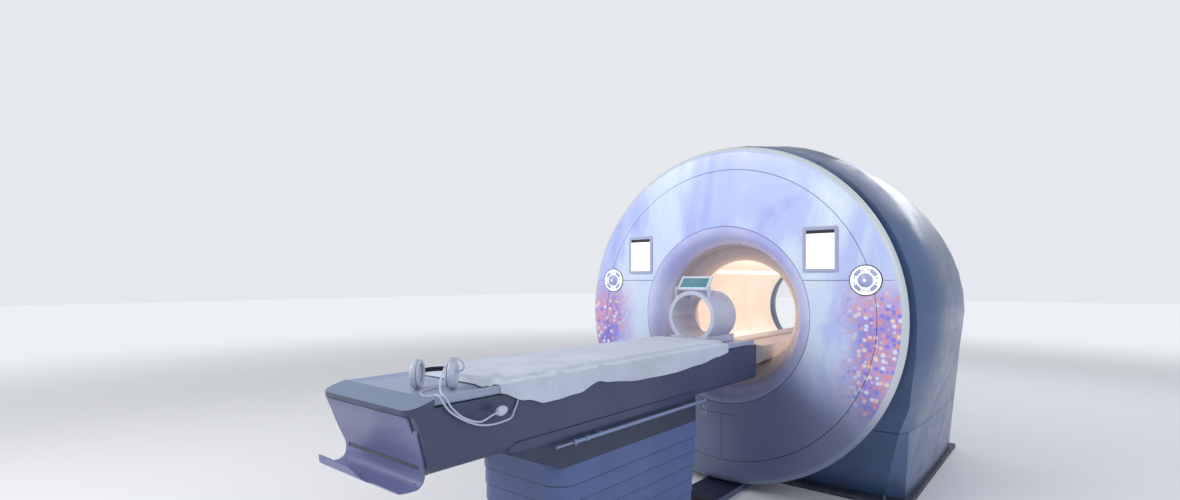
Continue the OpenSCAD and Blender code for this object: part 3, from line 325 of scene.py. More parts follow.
def coverPaintLightAndShade(name, look):
    made, tree, surface, place = startMaterial(name)
    split = addNode(tree, "ShaderNodeSeparateXYZ", {0: place})
    across, height = split.outputs[0], split.outputs[2]
    side = mathOf(tree, "ABSOLUTE", across)
    stretched = addNode(tree, "ShaderNodeMapping", {"Vector": place, "Scale": (1.7, 1.0, 0.75)}).outputs[0]
    # painted projected light: a cloudy wash of lavender and pale blue over the cover
    cloud = noiseOf(tree, stretched, 1.7, 5.0, 0.55, 0.7)
    projectedLightWash = ramp(tree, cloud, [(0.28, tone(0.65, 0.70, 0.95)), (0.45, tone(0.75, 0.80, 0.98)),
                              (0.60, tone(0.84, 0.90, 0.99)), (0.78, tone(0.92, 0.96, 0.99))])
    # painted projected light: loose dots low on both flanks
    wobble = noiseOf(tree, place, 3.5, 3.0)
    cells = addNode(tree, "ShaderNodeTexVoronoi", {"Vector": place, "Scale": look["dotScale"],
                                                   "Randomness": 0.9}, feature="F1")
    dot = spread(tree, cells.outputs["Distance"], 0.56, 0.30)
    pick = addNode(tree, "ShaderNodeSeparateColor", {0: cells.outputs["Color"]}).outputs[0]
    dotColour = ramp(tree, pick, [(0.0, tone(0.93, 0.62, 0.62)), (0.25, tone(0.97, 0.86, 0.80)),
                                  (0.45, tone(0.55, 0.52, 0.93)), (0.62, tone(0.90, 0.92, 1.0)),
                                  (0.80, tone(0.88, 0.66, 0.72)), (1.0, tone(0.72, 0.74, 0.98))], "CONSTANT")
    lowBand = mathOf(tree, "MULTIPLY", spread(tree, height, 1.34, 1.12), spread(tree, height, 0.42, 0.62))
    flank = spread(tree, mathOf(tree, "ADD", side, mathOf(tree, "MULTIPLY", wobble, 0.22)), 0.76, 0.98)
    zone = mathOf(tree, "MULTIPLY", lowBand, flank)
    ground = mixed(tree, zone, projectedLightWash, ramp(tree, wobble, [(0.35, tone(0.52, 0.50, 0.86)),
                                                         (0.65, tone(0.80, 0.66, 0.84))]))
    dotted = mixed(tree, mathOf(tree, "MULTIPLY", zone, dot), ground, dotColour)
    # painted shade: the foot of the disc is darker than its head, as in the shadow of the table
    reach = mathOf(tree, "ADD", height, mathOf(tree, "MULTIPLY", side, 0.62))
    footShade = spread(tree, mathOf(tree, "ADD", reach, mathOf(tree, "MULTIPLY", wobble, 0.12)), 1.48, 0.92)
    colour = mixed(tree, footShade, dotted, look["footShade"])
    # the rounded rim is plain, pale at its top and darker low down in the same painted shade as the foot
    rim = look["rim"]
    radius = distanceFromAxis(tree, across, height, boreAxis)
    colour = mixed(tree, spread(tree, radius, rim["from"] - 0.003, rim["from"] + 0.003), colour,
                   mixed(tree, footShade, rim["top"], rim["low"]))
    tree.links.new(colour, surface.inputs["Base Color"])
    tree.links.new(spread(tree, noiseOf(tree, place, 5.0, 4.0), 0.3, 0.7, 0.30, 0.42),
                   surface.inputs["Roughness"])
    surface.inputs["Coat Weight"].default_value = 0.15
    surface.inputs["Coat Roughness"].default_value = 0.25
    tree.links.new(roundedNormal(tree, 0.002, 500.0, 0.00003, place), surface.inputs["Normal"])
    return made


funnelLook = {"lip": 0.447, "bore": 0.35}


def funnelPaintLightAndShade(name, look):
    # painted light: lavender like the projected light on the cover at its seam, warm where the light of the bore
    # falls on it, and painted shade low down
    made, tree, surface, place = startMaterial(name)
    split = addNode(tree, "ShaderNodeSeparateXYZ", {0: place})
    across, height = split.outputs[0], split.outputs[2]
    radius = distanceFromAxis(tree, across, height, boreAxis)
    patches = noiseOf(tree, place, 2.2, 4.0)
    outer = mixed(tree, spread(tree, patches, 0.3, 0.7), tone(0.72, 0.74, 0.96), tone(0.84, 0.86, 0.98))
    # painted shade: darker towards the bottom, like the foot of the disc
    low = spread(tree, height, 1.15, 0.75)
    outer = mixed(tree, mathOf(tree, "MULTIPLY", low, 0.8), outer, tone(0.42, 0.44, 0.56))
    inner = ramp(tree, spread(tree, radius, look["lip"] - 0.002, look["bore"], soft=False),
                 [(0.0, tone(0.70, 0.68, 0.72)), (0.5, tone(0.82, 0.76, 0.76)), (1.0, tone(0.95, 0.87, 0.82))])
    colour = mixed(tree, spread(tree, radius, look["lip"] + 0.006, look["lip"] - 0.003), outer, inner)
    tree.links.new(colour, surface.inputs["Base Color"])
    tree.links.new(spread(tree, noiseOf(tree, place, 5.0, 4.0), 0.3, 0.7, 0.26, 0.38),
                   surface.inputs["Roughness"])
    tree.links.new(roundedNormal(tree, 0.0015, 500.0, 0.00002, place), surface.inputs["Normal"])
    return made


screenLook = {"headerFrom": 1.566, "headerTo": 1.570, "strength": 1.15}


def screenGlow(name, look):
    made, tree, surface, place = startMaterial(name)
    header = spread(tree, heightOf(tree, place), look["headerFrom"], look["headerTo"], soft=False)
    soft = mixed(tree, noiseOf(tree, place, 4.0, 2.0), tone(0.99, 0.98, 0.96), tone(1.0, 1.0, 1.0))
    colour = mixed(tree, header, soft, tone(0.10, 0.11, 0.14))
    tree.links.new(colour, surface.inputs["Base Color"])
    tree.links.new(colour, surface.inputs["Emission Color"])
    surface.inputs["Emission Strength"].default_value = look["strength"]
    surface.inputs["Roughness"].default_value = 0.12
    surface.inputs["Coat Weight"].default_value = 0.6
    return made


dust = tone(0.30, 0.32, 0.38)
# painted shadow: where the dark band under each skirt's lip falls
lipShadow = {"top": 0.604, "pitch": 0.069, "start": 0.143, "end": 0.215, "colour": tone(0.10, 0.12, 0.22)}
finishes = {
    "cover": coverPaintLightAndShade("coverPaintLightAndShade", coverLook),
    "funnel": funnelPaintLightAndShade("funnelPaintLightAndShade", funnelLook),
    "housing": mouldedPlastic("housingPaint", {"colour": tone(0.29, 0.39, 0.56), "shade": 0.8, "rough": 0.34,
                                               "coat": 0.2, "dust": dust, "dustTop": 0.5}),
    "frame": mouldedPlastic("groovePlastic", {"colour": tone(0.20, 0.24, 0.32), "rough": 0.5}),
    # painted light: the bore's liner glows a little, as if lit by the lamps in the bore
    "bore": litFace("boreLinerPaintedGlow", {"colour": tone(0.96, 0.88, 0.82), "second": tone(0.98, 0.92, 0.86),
                                  "strength": 0.35, "driftScale": 2.5}),
    "lamp": litFace("boreLamp", {"colour": tone(1.0, 0.96, 0.90), "second": tone(1.0, 0.98, 0.94),
                                 "strength": 2.4}),
    "bridge": mouldedPlastic("bridgePlastic", {"colour": tone(0.80, 0.78, 0.80), "rough": 0.4}),
    "displayFrame": mouldedPlastic("displayFrame", {"colour": tone(0.70, 0.73, 0.84), "rough": 0.3,
                                                    "edge": 0.003, "coat": 0.3}),
    "screen": screenGlow("screenGlow", screenLook),
    "dial": litFace("dialRing", {"colour": tone(0.92, 0.93, 1.0), "second": tone(0.97, 0.98, 1.0),
                                 "strength": 0.45}),
    "knob": mouldedPlastic("knobPlastic", {"colour": tone(0.70, 0.72, 0.88), "rough": 0.28, "edge": 0.003,
                                           "coat": 0.4}),
    "vessel": brushedMetal("vesselSteel", {"colour": tone(0.62, 0.64, 0.67), "rough": 0.45,
                                           "stretch": (1.0, 12.0, 1.0)}),
    "resin": mouldedPlastic("coilResin", {"colour": tone(0.62, 0.42, 0.25), "rough": 0.5, "shade": 0.7}),
    "plate": mouldedPlastic("floorPlate", {"colour": tone(0.17, 0.20, 0.27), "rough": 0.5, "dustTop": 0.06,
                                           "dust": tone(0.38, 0.40, 0.45)}),
    "skirt": mouldedPlastic("skirtPlastic", {"colour": tone(0.33, 0.40, 0.60), "shade": 0.88, "rough": 0.38,
                                             "dustTop": 0.35, "dust": dust, "lipShadow": lipShadow}),
    "hood": mouldedPlastic("hoodPlastic", {"colour": tone(0.20, 0.23, 0.33), "rough": 0.42}),
    "trough": mouldedPlastic("troughPlastic", {"colour": tone(0.24, 0.28, 0.40), "rough": 0.36, "coat": 0.15,
                                               "upper": tone(0.44, 0.51, 0.62)}),
    "tray": mouldedPlastic("trayPlastic", {"colour": tone(0.42, 0.44, 0.62), "rough": 0.36, "coat": 0.2,
                                           "edge": 0.0015}),
    "steel": brushedMetal("liftSteel", {"colour": tone(0.50, 0.52, 0.56), "rough": 0.4,
                                        "stretch": (1.0, 1.0, 14.0)}),
    "pole": brushedMetal("poleMetal", {"colour": tone(0.60, 0.66, 0.80), "rough": 0.34, "metal": 0.7,
                                       "stretch": (1.0, 10.0, 1.0)}),
    "board": mouldedPlastic("boardPlastic", {"colour": tone(0.62, 0.67, 0.78), "rough": 0.36, "coat": 0.15}),
    "coil": mouldedPlastic("coilPlastic", {"colour": tone(0.80, 0.82, 0.90), "rough": 0.32, "edge": 0.004,
                                           "coat": 0.3}),
    "mirrorFrame": mouldedPlastic("mirrorFrame", {"colour": tone(0.86, 0.88, 0.93), "rough": 0.3}),
    "black": mouldedPlastic("blackPlastic", {"colour": tone(0.09, 0.09, 0.11), "rough": 0.5, "edge": 0.004}),
    "base": mouldedPlastic("basePaint", {"colour": tone(0.34, 0.39, 0.54), "rough": 0.42, "dustTop": 0.12,
                                         "dust": dust, "lipShadow": lipShadow}),
    "sheet": wovenCloth("sheetCotton", {"colour": tone(0.78, 0.82, 0.88), "threads": 420.0}),
    "padCover": wovenCloth("padCover", {"colour": tone(0.30, 0.33, 0.42), "threads": 260.0, "crease": 0.002}),
    "earPad": mouldedPlastic("earPad", {"colour": tone(0.82, 0.84, 0.88), "rough": 0.55, "grain": 240.0,
                                        "depth": 0.0002, "edge": 0.003}),
    "headsetShell": mouldedPlastic("headsetShell", {"colour": tone(0.80, 0.83, 0.90), "rough": 0.3,
                                                    "coat": 0.3}),
    "tube": mouldedPlastic("airTube", {"colour": tone(0.78, 0.82, 0.90), "rough": 0.4, "grain": 300.0}),
}
slotOf = {item["node"]: item["material_slot"] for item in frame["record"]["subparts"]}
finishOf = {
    "cover_white": "cover", "housing_blue": "housing", "frame_dark": "frame", "bore_white": "bore",
    "lamp": "lamp", "screen": "screen", "display_frame": "displayFrame", "dial_white": "dial",
    "knob_grey": "knob", "vessel_steel": "vessel", "coil_resin": "resin", "plate_dark": "plate",
    "skirt_blue": "skirt", "hood_slate": "hood", "trough_slate": "trough", "tray_lavender": "tray",
    "lift_steel": "steel", "pole_metal": "pole", "board_white": "board", "mattress_grey": "padCover",
    "sheet_cotton": "sheet", "coil_white": "coil", "mirror_frame": "mirrorFrame",
    "headset_white": "headsetShell", "tube_white": "tube", "bulb_white": "headsetShell",
    "step_black": "black", "base_blue": "base",
}
ownFinish = {"front_funnel": "funnel", "bore_bridge": "bridge"}
print("materials made:", len(finishes))


# carried-over nodes: finish and soft shading
shading = {"weld": 0.00002, "sharpAngle": 28}


def softShadeGroup():
    # joins the split corners of a node and shades it smooth, apart from its true edges
    group = bpy.data.node_groups.new("softShade", "GeometryNodeTree")
    for way in ("INPUT", "OUTPUT"):
        group.interface.new_socket("Geometry", in_out=way, socket_type="NodeSocketGeometry")
    start = group.nodes.new("NodeGroupInput")
    end = group.nodes.new("NodeGroupOutput")
    weld = addNode(group, "GeometryNodeMergeByDistance", {"Geometry": start.outputs[0],
                                                          "Distance": shading["weld"]})
    allSmooth = addNode(group, "GeometryNodeSetShadeSmooth", {"Geometry": weld.outputs[0]}, domain="FACE")
    angle = addNode(group, "GeometryNodeInputMeshEdgeAngle")
    sharp = addNode(group, "FunctionNodeCompare", {0: angle.outputs[0], 1: math.radians(shading["sharpAngle"])},
                    data_type="FLOAT", operation="GREATER_THAN")
    edges = addNode(group, "GeometryNodeSetShadeSmooth", {"Geometry": allSmooth.outputs[0],
                                                          "Selection": sharp.outputs[0],
                                                          "Shade Smooth": False}, domain="EDGE")
    group.links.new(edges.outputs[0], end.inputs[0])
    return group


softShade = softShadeGroup()
for name, piece in nodes.items():
    finish = finishes[ownFinish.get(name, finishOf[slotOf[name]])]
    piece.data.materials.clear()
    piece.data.materials.append(finish)
    if "custom_normal" in piece.data.attributes:
        piece.data.attributes.remove(piece.data.attributes["custom_normal"])
    modifier(piece, "NODES", node_group=softShade)
print("nodes finished")

# cords: headset tube, bulb tube and squeeze bulb
cords = {
    "diameter": 0.006,
    "steps": 5,
    "headsetRoute": [
        (0.1099, -3.0839, 0.962), (0.098, -3.096, 0.952), (0.086, -3.135, 0.949), (0.112, -3.188, 0.949),
        (0.170, -3.220, 0.949), (0.222, -3.228, 0.955), (0.245, -3.229, 0.962), (0.265, -3.226, 0.957),
        (0.275, -3.218, 0.936), (0.278, -3.195, 0.908), (0.280, -3.150, 0.878), (0.281, -3.090, 0.852),
        (0.281, -3.030, 0.843), (0.278, -2.968, 0.846), (0.267, -2.938, 0.851), (0.253, -2.916, 0.864),
        (0.250, -2.900, 0.886), (0.250, -2.894, 0.906)],
    "bulbRoute": [
        (0.1329, -3.0642, 1.003), (0.1435, -3.0554, 1.005), (0.152, -3.049, 1.014), (0.150, -3.052, 1.031),
        (0.139, -3.064, 1.045), (0.130, -3.081, 1.049), (0.148, -3.112, 1.038), (0.175, -3.150, 1.015),
        (0.215, -3.190, 0.985), (0.247, -3.208, 0.963), (0.268, -3.207, 0.952), (0.277, -3.191, 0.920),
        (0.280, -3.150, 0.885), (0.284, -3.091, 0.862), (0.285, -3.045, 0.873), (0.285, -3.0274, 0.8775)],
}


def alongRoute(points, steps):
    line = []
    for i in range(len(points) - 1):
        a, b = Vector(points[max(i - 1, 0)]), Vector(points[i])
        c, d = Vector(points[i + 1]), Vector(points[min(i + 2, len(points) - 1)])
        for k in range(steps):
            t = k / steps
            line.append(0.5 * (2 * b + (c - a) * t + (2 * a - 5 * b + 4 * c - d) * t * t
                               + (3 * b - a - 3 * c + d) * t ** 3))
    return line + [Vector(points[-1])]


def airTube(name, route, node):
    line = alongRoute(route, cords["steps"])
    curve = bpy.data.curves.new(name, "CURVE")
    curve.dimensions = "3D"
    curve.bevel_depth = cords["diameter"] / 2
    curve.bevel_resolution = 4
    curve.use_fill_caps = True
    spline = curve.splines.new("POLY")
    spline.points.add(len(line) - 1)
    for point, spot in zip(spline.points, line):
        point.co = (*spot, 1)
    spline.use_smooth = True
    piece = newObject(name, curve, "table_top_body", finishes["tube"], [node])
    return piece


bulb = {"centre": (0.285, -3.002, 0.882), "radius": 0.016, "length": 0.05, "tilt": -80,
        "neckAngle": -62, "sweep": 152, "steps": 12}


def squeezeBulb(look):
    place = Matrix.Translation(look["centre"]) @ Matrix.Rotation(math.radians(look["tilt"]), 4, "X")
    half = look["length"] / 2
    profile = [(0.0030, -half), (0.0048, -half + 0.001), (0.0050, -half + 0.006), (0.0062, -half + 0.007)]
    for k in range(1, look["steps"] + 1):
        a = math.radians(look["neckAngle"] + look["sweep"] * k / look["steps"])
        profile.append((max(0.0006, look["radius"] * math.cos(a)), half * math.sin(a)))
    mesh = lathe("squeezeBulb", profile, 40, place)
    piece = newObject("squeezeBulb", mesh, "table_top_body", finishes["headsetShell"],
                      ["call_bulb"])
    modifier(piece, "SUBSURF", levels=1, render_levels=1)
    return piece


bulbPiece = squeezeBulb(bulb)
airTube("headsetTube", cords["headsetRoute"], "headset_tube")
airTube("bulbTube", cords["bulbRoute"], "bulb_tube")
print("cords laid")

# bed sheet
sheet = {
    "foot": -2.972, "head": -1.348, "rows": 132, "cols": 78, "flatTop": 0.2535, "frames": 34,
    "boardTop": 0.957, "padTop": 0.9716, "padHalf": 0.211, "boardHalf": 0.253,
    "widest": 0.2622, "lowest": 0.8675, "cloth": 0.0012, "padFoot": -2.952, "floor": 0.9465,
    "rowEase": 1.3, "topShare": 0.72, "turnDown": 0.004, "drift": 0.018,
}
# how far the sheet hangs over the rim, as (y, drop): long lobes with pulled-up notches
hem = {
    "near": [(-2.975, 0.020), (-2.86, 0.058), (-2.76, 0.083), (-2.58, 0.078), (-2.47, 0.048), (-2.40, 0.062),
             (-2.18, 0.078), (-1.93, 0.083), (-1.66, 0.070), (-1.47, 0.052), (-1.345, 0.040)],
    "far": [(-2.975, 0.060), (-2.80, 0.074), (-2.60, 0.058), (-2.35, 0.078), (-2.12, 0.082),
            (-1.95, 0.058), (-1.72, 0.076), (-1.50, 0.066), (-1.345, 0.048)],
}


def hemDrop(y, side):
    lobes = hem["near" if side > 0 else "far"]
    for (ya, da), (yb, db) in zip(lobes, lobes[1:]):
        if y <= yb:
            return lerp(da, db, smooth(ya, yb, y))
    return lobes[-1][1]


def sheetSection(distance, look):
    # where a point lies that is so far from the middle along the cloth, as (x, z)
    top, rim, half = look["padTop"] + 0.0016, look["boardTop"] + 0.0016, look["boardHalf"]
    path = [(0, top), (look["padHalf"] - 0.012, top), (look["padHalf"] + 0.004, top - 0.005),
            (half - 0.016, rim + 0.003), (half - 0.004, rim), (half + 0.0025, rim - 0.006),
            (half + 0.0035, rim - 0.02), (half + 0.0040, rim - 0.2)]
    for (xa, za), (xb, zb) in zip(path, path[1:]):
        step = math.hypot(xb - xa, zb - za)
        if distance <= step:
            return lerp(xa, xb, distance / step), lerp(za, zb, distance / step)
        distance -= step
    return path[-1]


bunch = {"x": 0.185, "width": 0.045, "height": 0.042, "reach": 0.030}
# the long folds as (y, lean, depth)
folds = [(-2.44, 0.45, 0.020), (-2.68, 0.9, 0.018), (-2.86, -0.5, 0.010), (-2.05, 0.2, 0.006),
         (-1.62, -0.3, 0.006)]


def footLine(x, look):
    # the foot edge runs out to a crumpled heap behind the nearer cup
    return look["foot"] - bunch["reach"] * math.exp(-((x - bunch["x"]) / bunch["width"]) ** 2)


def creases(x, y, side):
    # long soft folds that run out to the notches, with fine wrinkles between them
    fold = 0
    for spot, lean, deep in folds:
        along = y - spot + lean * (0.25 - abs(x)) * (1 if side > 0 else -0.6)
        fold += deep * math.exp(-(along / 0.028) ** 2) * smooth(0.02, 0.24, abs(x)) * (1 if side > 0 else 0.6)
        fold -= 0.4 * deep * math.exp(-((along - 0.05) / 0.04) ** 2) * smooth(0.02, 0.24, abs(x))
    wrinkle = noise.fractal(Vector((x * 9, y * 5.5, 1.7)), 1.0, 2.0, 4) * 0.0045
    broad = noise.noise(Vector((x * 3.2, y * 2.4, 4.0))) * 0.003
    foot = smooth(-2.60, -2.95, y) * noise.fractal(Vector((x * 15, y * 12, 7.0)), 1.0, 2.0, 3) * 0.007
    heap = bunch["height"] * math.exp(-((x - bunch["x"]) / bunch["width"]) ** 2) * smooth(-2.87, -2.985, y)
    heap *= 1 + 0.5 * noise.fractal(Vector((x * 26, y * 22, 3.0)), 1.0, 2.0, 3)
    return max(0.0, 0.004 + fold + wrinkle + broad + foot + (heap if side > 0 else 0))


def bedSheet(look):
    rows, cols = look["rows"], look["cols"]
    verts = []
    for r in range(rows):
        along = (r / (rows - 1)) ** look["rowEase"]  # rows stand closer at the foot
        y = lerp(look["foot"], look["head"], along)
        for c in range(cols):
            u = 2 * c / (cols - 1) - 1
            side = 1 if u > 0 else -1
            # even spacing over the top, and the rest of the points down the hang
            inner = look["topShare"]
            if abs(u) <= inner:
                distance = abs(u) / inner * look["flatTop"]
            else:
                hang = look["turnDown"] + hemDrop(y, side)
                distance = look["flatTop"] + (abs(u) - inner) / (1 - inner) * hang
            x, z = sheetSection(distance, look)
            y = lerp(footLine(x * side, look), look["head"], along)
            lift = creases(x if side > 0 else -x, y, side)
            down = smooth(look["boardTop"] - 0.004, look["boardTop"] - 0.03, z)
            wave = 0.5 + 0.5 * math.sin(y * 38 + 2.2 * math.sin(y * 9) + side)
            x += down * min(0.0050, wave * 0.0045 + lift * 0.1)
            z += (1 - down) * lift * (0.35 + 0.65 * smooth(0.0, 0.06, 1 - abs(u)))
            over = smooth(look["padFoot"] - 0.001, look["padFoot"] - 0.018, y) * smooth(0.246, 0.222, x)
            z = lerp(z, look["floor"] + 0.3 * lift, over)
            verts.append((x * side, y, z))
    mesh = meshFrom("bedSheet", verts, gridFaces(rows, cols), closed=False)
    piece = newObject("bedSheet", mesh, "table_top_body", finishes["sheet"], ["bed_sheet"])
    settle(piece, look)
    for v in piece.data.vertices:
        v.co.x = max(-look["widest"], min(look["widest"], v.co.x))
        v.co.z = max(look["lowest"], v.co.z)
    modifier(piece, "SOLIDIFY", thickness=look["cloth"], offset=0.0)
    modifier(piece, "SUBSURF", levels=1, render_levels=1)
    return piece


def settle(piece, look):
    # the cloth falls a few millimetres on to the pad and the rims, and its hang swings to rest
    half, top, rim, pad = look["boardHalf"], look["padTop"], look["boardTop"], look["padHalf"]
    section = [(-half, rim - 0.10), (half, rim - 0.10), (half, rim - 0.006), (half - 0.004, rim),
               (half - 0.016, rim), (pad + 0.004, rim - 0.006), (pad, top - 0.006), (pad - 0.008, top),
               (-pad + 0.008, top), (-pad, top - 0.006), (-pad - 0.004, rim - 0.006), (-half + 0.016, rim),
               (-half + 0.004, rim), (-half, rim - 0.006)]
    end = look["padFoot"]
    stations = sorted([look["foot"] - 0.2 + 0.05 * k for k in range(42)] + [end - 0.003, end])
    verts = [(x, y, min(z, look["floor"] - look["cloth"]) if y < end and abs(x) < pad + 0.005 else z)
             for y in stations for x, z in section]
    count = len(section)
    faces = gridFaces(len(stations), count, closed=True) + endCaps(len(stations), count)
    form = bpy.data.objects.new("sheetForm", meshFrom("sheetForm", verts, faces, soft=False))
    bpy.context.scene.collection.objects.link(form)
    modifier(form, "COLLISION")
    form.collision.thickness_outer = look["cloth"]
    form.collision.cloth_friction = 20
    cloth = modifier(piece, "CLOTH")
    cloth.settings.quality = 6
    cloth.settings.mass = 0.18
    cloth.settings.tension_stiffness = 20
    cloth.settings.compression_stiffness = 20
    cloth.settings.bending_stiffness = 0.25
    cloth.settings.air_damping = 4
    cloth.settings.shrink_min = -0.012
    cloth.collision_settings.distance_min = look["cloth"]
    cloth.collision_settings.collision_quality = 3
    start = [v.co.copy() for v in piece.data.vertices]
    scene = bpy.context.scene
    for number in range(1, look["frames"] + 1):
        scene.frame_set(number)
    applied(piece)
    for v, before in zip(piece.data.vertices, start):  # no point drifts far from the cut that was laid out
        step = v.co - before
        if step.length > look["drift"]:
            v.co = before + step * (look["drift"] / step.length)
    scene.frame_set(1)
    bpy.data.objects.remove(form)


# mattress under the sheet
pad = {"half": 0.205, "foot": -2.952, "head": -1.388, "low": 0.9462, "top": 0.9706}


def mattressPad(look):
    rows, cols = 90, 28
    verts, rim = [], []
    for layer in (0, 1):
        for r in range(rows):
            v = r / (rows - 1)
            y = lerp(look["foot"], look["head"], v)
            for c in range(cols):
                u = 2 * c / (cols - 1) - 1
                edge = min((1 - abs(u)) * look["half"], min(v, 1 - v) * (look["head"] - look["foot"]))
                crown = smooth(0.0, 0.018, edge)
                middle = (look["low"] + look["top"]) / 2
                if layer:
                    channel = 0.0022 * math.exp(-(((y - look["foot"]) % 0.26 - 0.13) / 0.006) ** 2)
                    z = lerp(middle, look["top"], crown) - channel * crown
                else:
                    z = lerp(middle, look["low"], crown)
                pull = 0.0025 * (1 - crown) * (0.5 + 0.5 * math.cos(v * math.pi * 6))
                verts.append((u * look["half"] - math.copysign(pull, u), y, z))
    size = rows * cols
    faces = [tuple(reversed(face)) for face in gridFaces(rows, cols)]
    faces += [tuple(i + size for i in face) for face in gridFaces(rows, cols)]
    loop = [c for c in range(cols)] + [r * cols + cols - 1 for r in range(1, rows)]
    loop += [(rows - 1) * cols + c for c in range(cols - 2, -1, -1)] + [r * cols for r in range(rows - 2, 0, -1)]
    for a, b in zip(loop, loop[1:] + loop[:1]):
        faces.append((a, b, b + size, a + size))
    mesh = meshFrom("mattressPad", verts, faces)
    piece = newObject("mattressPad", mesh, "table_top_body", finishes["padCover"], ["mattress"])
    return piece


mattressPad(pad)
bedSheet(sheet)
print("mattress and sheet laid")

# headset: two cups with cushions and a black band
headset = {"centre": (0.076, -3.112, 0.9946), "turn": 40, "cup": 0.050, "gap": 0.092,
           "band": {"out": 0.0088, "foot": 0.012, "knee": 0.030, "middle": 0.060, "steps": 24}}


def headsetPieces(look):
    base = Matrix.Translation(look["centre"]) @ Matrix.Rotation(math.radians(look["turn"]), 4, "Z")
    cup = look["cup"]
    shells = []
    for side in (-1, 1):
        place = base @ Matrix.Translation((side * look["gap"] / 2, 0, 0)) @ Matrix.Rotation(
            math.radians(90 * side), 4, "Y")
        profile = [(0.001, 0.0045), (cup - 0.010, 0.0045), (cup - 0.006, 0.005), (cup - 0.001, 0.0075),
                   (cup, 0.011), (cup, 0.018), (cup - 0.0015, 0.0225), (cup - 0.006, 0.0265),
                   (cup - 0.014, 0.0285), (cup - 0.022, 0.0288), (cup - 0.0235, 0.0275), (0.001, 0.0272)]
        shells.append(lathe("cup", profile, 72, place))
        outer = [(cup - 0.014, 0.0045), (cup - 0.004, 0.0040), (cup - 0.0025, 0.0010), (cup - 0.004, -0.0025),
                 (cup - 0.010, -0.0042), (cup - 0.016, -0.0030), (cup - 0.0185, 0.0005), (cup - 0.0180, 0.0040)]
        count = 96
        verts = []
        for r, h in outer:
            for k in range(count):
                a = 2 * math.pi * k / count
                pucker = 0.0004 * math.cos(a * 24)
                verts.append(place @ Vector(((r + pucker) * math.cos(a), (r + pucker) * math.sin(a), h)))
        faces = gridFaces(len(outer), count, closed=True) + ringFaces(len(outer), count)
        cushion = newObject("earCushion_" + ("left" if side < 0 else "right"),
                            meshFrom("earCushion", verts, faces), "table_top_body", finishes["earPad"],
                            ["headset"])
        modifier(cushion, "SUBSURF", levels=1, render_levels=1)
    newObject("headsetCups", joined("headsetCups", shells), "table_top_body", finishes["headsetShell"],
              ["headset"])
    # the band: a flat black strap from cup to cup, round the back
    band = look["band"]
    r = look["gap"] / 2 + band["out"]
    line = [(-r, band["foot"]), (-r, band["knee"])]
    for k in range(band["steps"] + 1):
        a = math.pi * k / band["steps"]
        line.append((-r * math.cos(a), band["middle"] + r * math.sin(a)))
    line += [(r, band["knee"]), (r, band["foot"])]
    section = [(-0.0022, -0.0080), (0.0022, -0.0080), (0.0028, 0), (0.0022, 0.0080), (-0.0022, 0.0080),
               (-0.0028, 0)]
    verts = []
    for i, (x, y) in enumerate(line):
        before, after = Vector(line[max(i - 1, 0)]), Vector(line[min(i + 1, len(line) - 1)])
        along = (after - before).normalized()
        out = Vector((-along.y, along.x))
        verts += [base @ Vector((x + out.x * dx, y + out.y * dx, dz)) for dx, dz in section]
    faces = gridFaces(len(line), len(section), closed=True) + endCaps(len(line), len(section))
    strap = newObject("headsetBand", meshFrom("headsetBand", verts, faces), "table_top_body", finishes["black"],
                      ["headset"])
    modifier(strap, "BEVEL", width=0.0008, segments=2, limit_method="ANGLE")


headsetPieces(headset)
print("headset made")

# small trim: dial marks, mirror glass, floor anchors
dials = {"x": 0.849, "face": -0.93, "height": 1.306, "markRing": 0.0575, "markRadius": 0.0040, "lean": 14.5,
         "ring": 0.079, "darkRing": 0.0055, "dot": 0.0075, "dotTop": 0.0262}


def dialTrim(look, side):
    # eight small marks in pairs, a dark ring round the dial ring and a bright dot on the knob
    name = "left" if side < 0 else "right"
    face = Matrix.Translation((side * look["x"], look["face"], look["height"])) @ Matrix.Rotation(
        math.radians(90), 4, "X")
    discs = []
    r = look["markRadius"]
    mark = [(r, 0.0052), (r, 0.0063), (r * 0.8, 0.0067), (0.0003, 0.0067)]
    for q in range(4):
        for lean in (-look["lean"], look["lean"]):
            a = math.radians(90 * q + lean)
            spot = Matrix.Translation((look["markRing"] * math.cos(a), look["markRing"] * math.sin(a), 0))
            discs.append(lathe("mark", mark, 24, face @ spot))
    newObject("dialMarks_" + name, joined("dialMarks", discs), "gantry", finishes["frame"])
    ring, wide = look["ring"], look["darkRing"]
    darkRing = lathe("dialDarkRing", [(ring + 0.0004, 0.0002), (ring + wide, 0.0002), (ring + wide, 0.0012),
                              (ring + wide - 0.001, 0.0022), (ring + 0.0004, 0.0022)], 96, face)
    newObject("dialDarkRing_" + name, darkRing, "gantry", finishes["black"])
    r, top = look["dot"], look["dotTop"]
    dot = lathe("knobDot", [(r, top - 0.0016), (r, top), (r * 0.8, top + 0.0006), (0.0003, top + 0.0008)],
                32, face)
    newObject("knobDot_" + name, dot, "knob_" + name + "_body", finishes["dial"])


for side in (-1, 1):
    dialTrim(dials, side)

fairing = {"half": 0.2497, "inner": 0.2115, "low": 0.7158,
           "trough": [(0.210, 0.716), (0.236, 0.728), (0.252, 0.755)],
           "gap": 0.0002, "plan": [(-2.9295, 0.0280), (-2.9210, 0.0088), (-2.9000, 0.0), (-1.6980, 0.0),
                                   (-1.6680, 0.0110), (-1.6560, 0.0280)]}


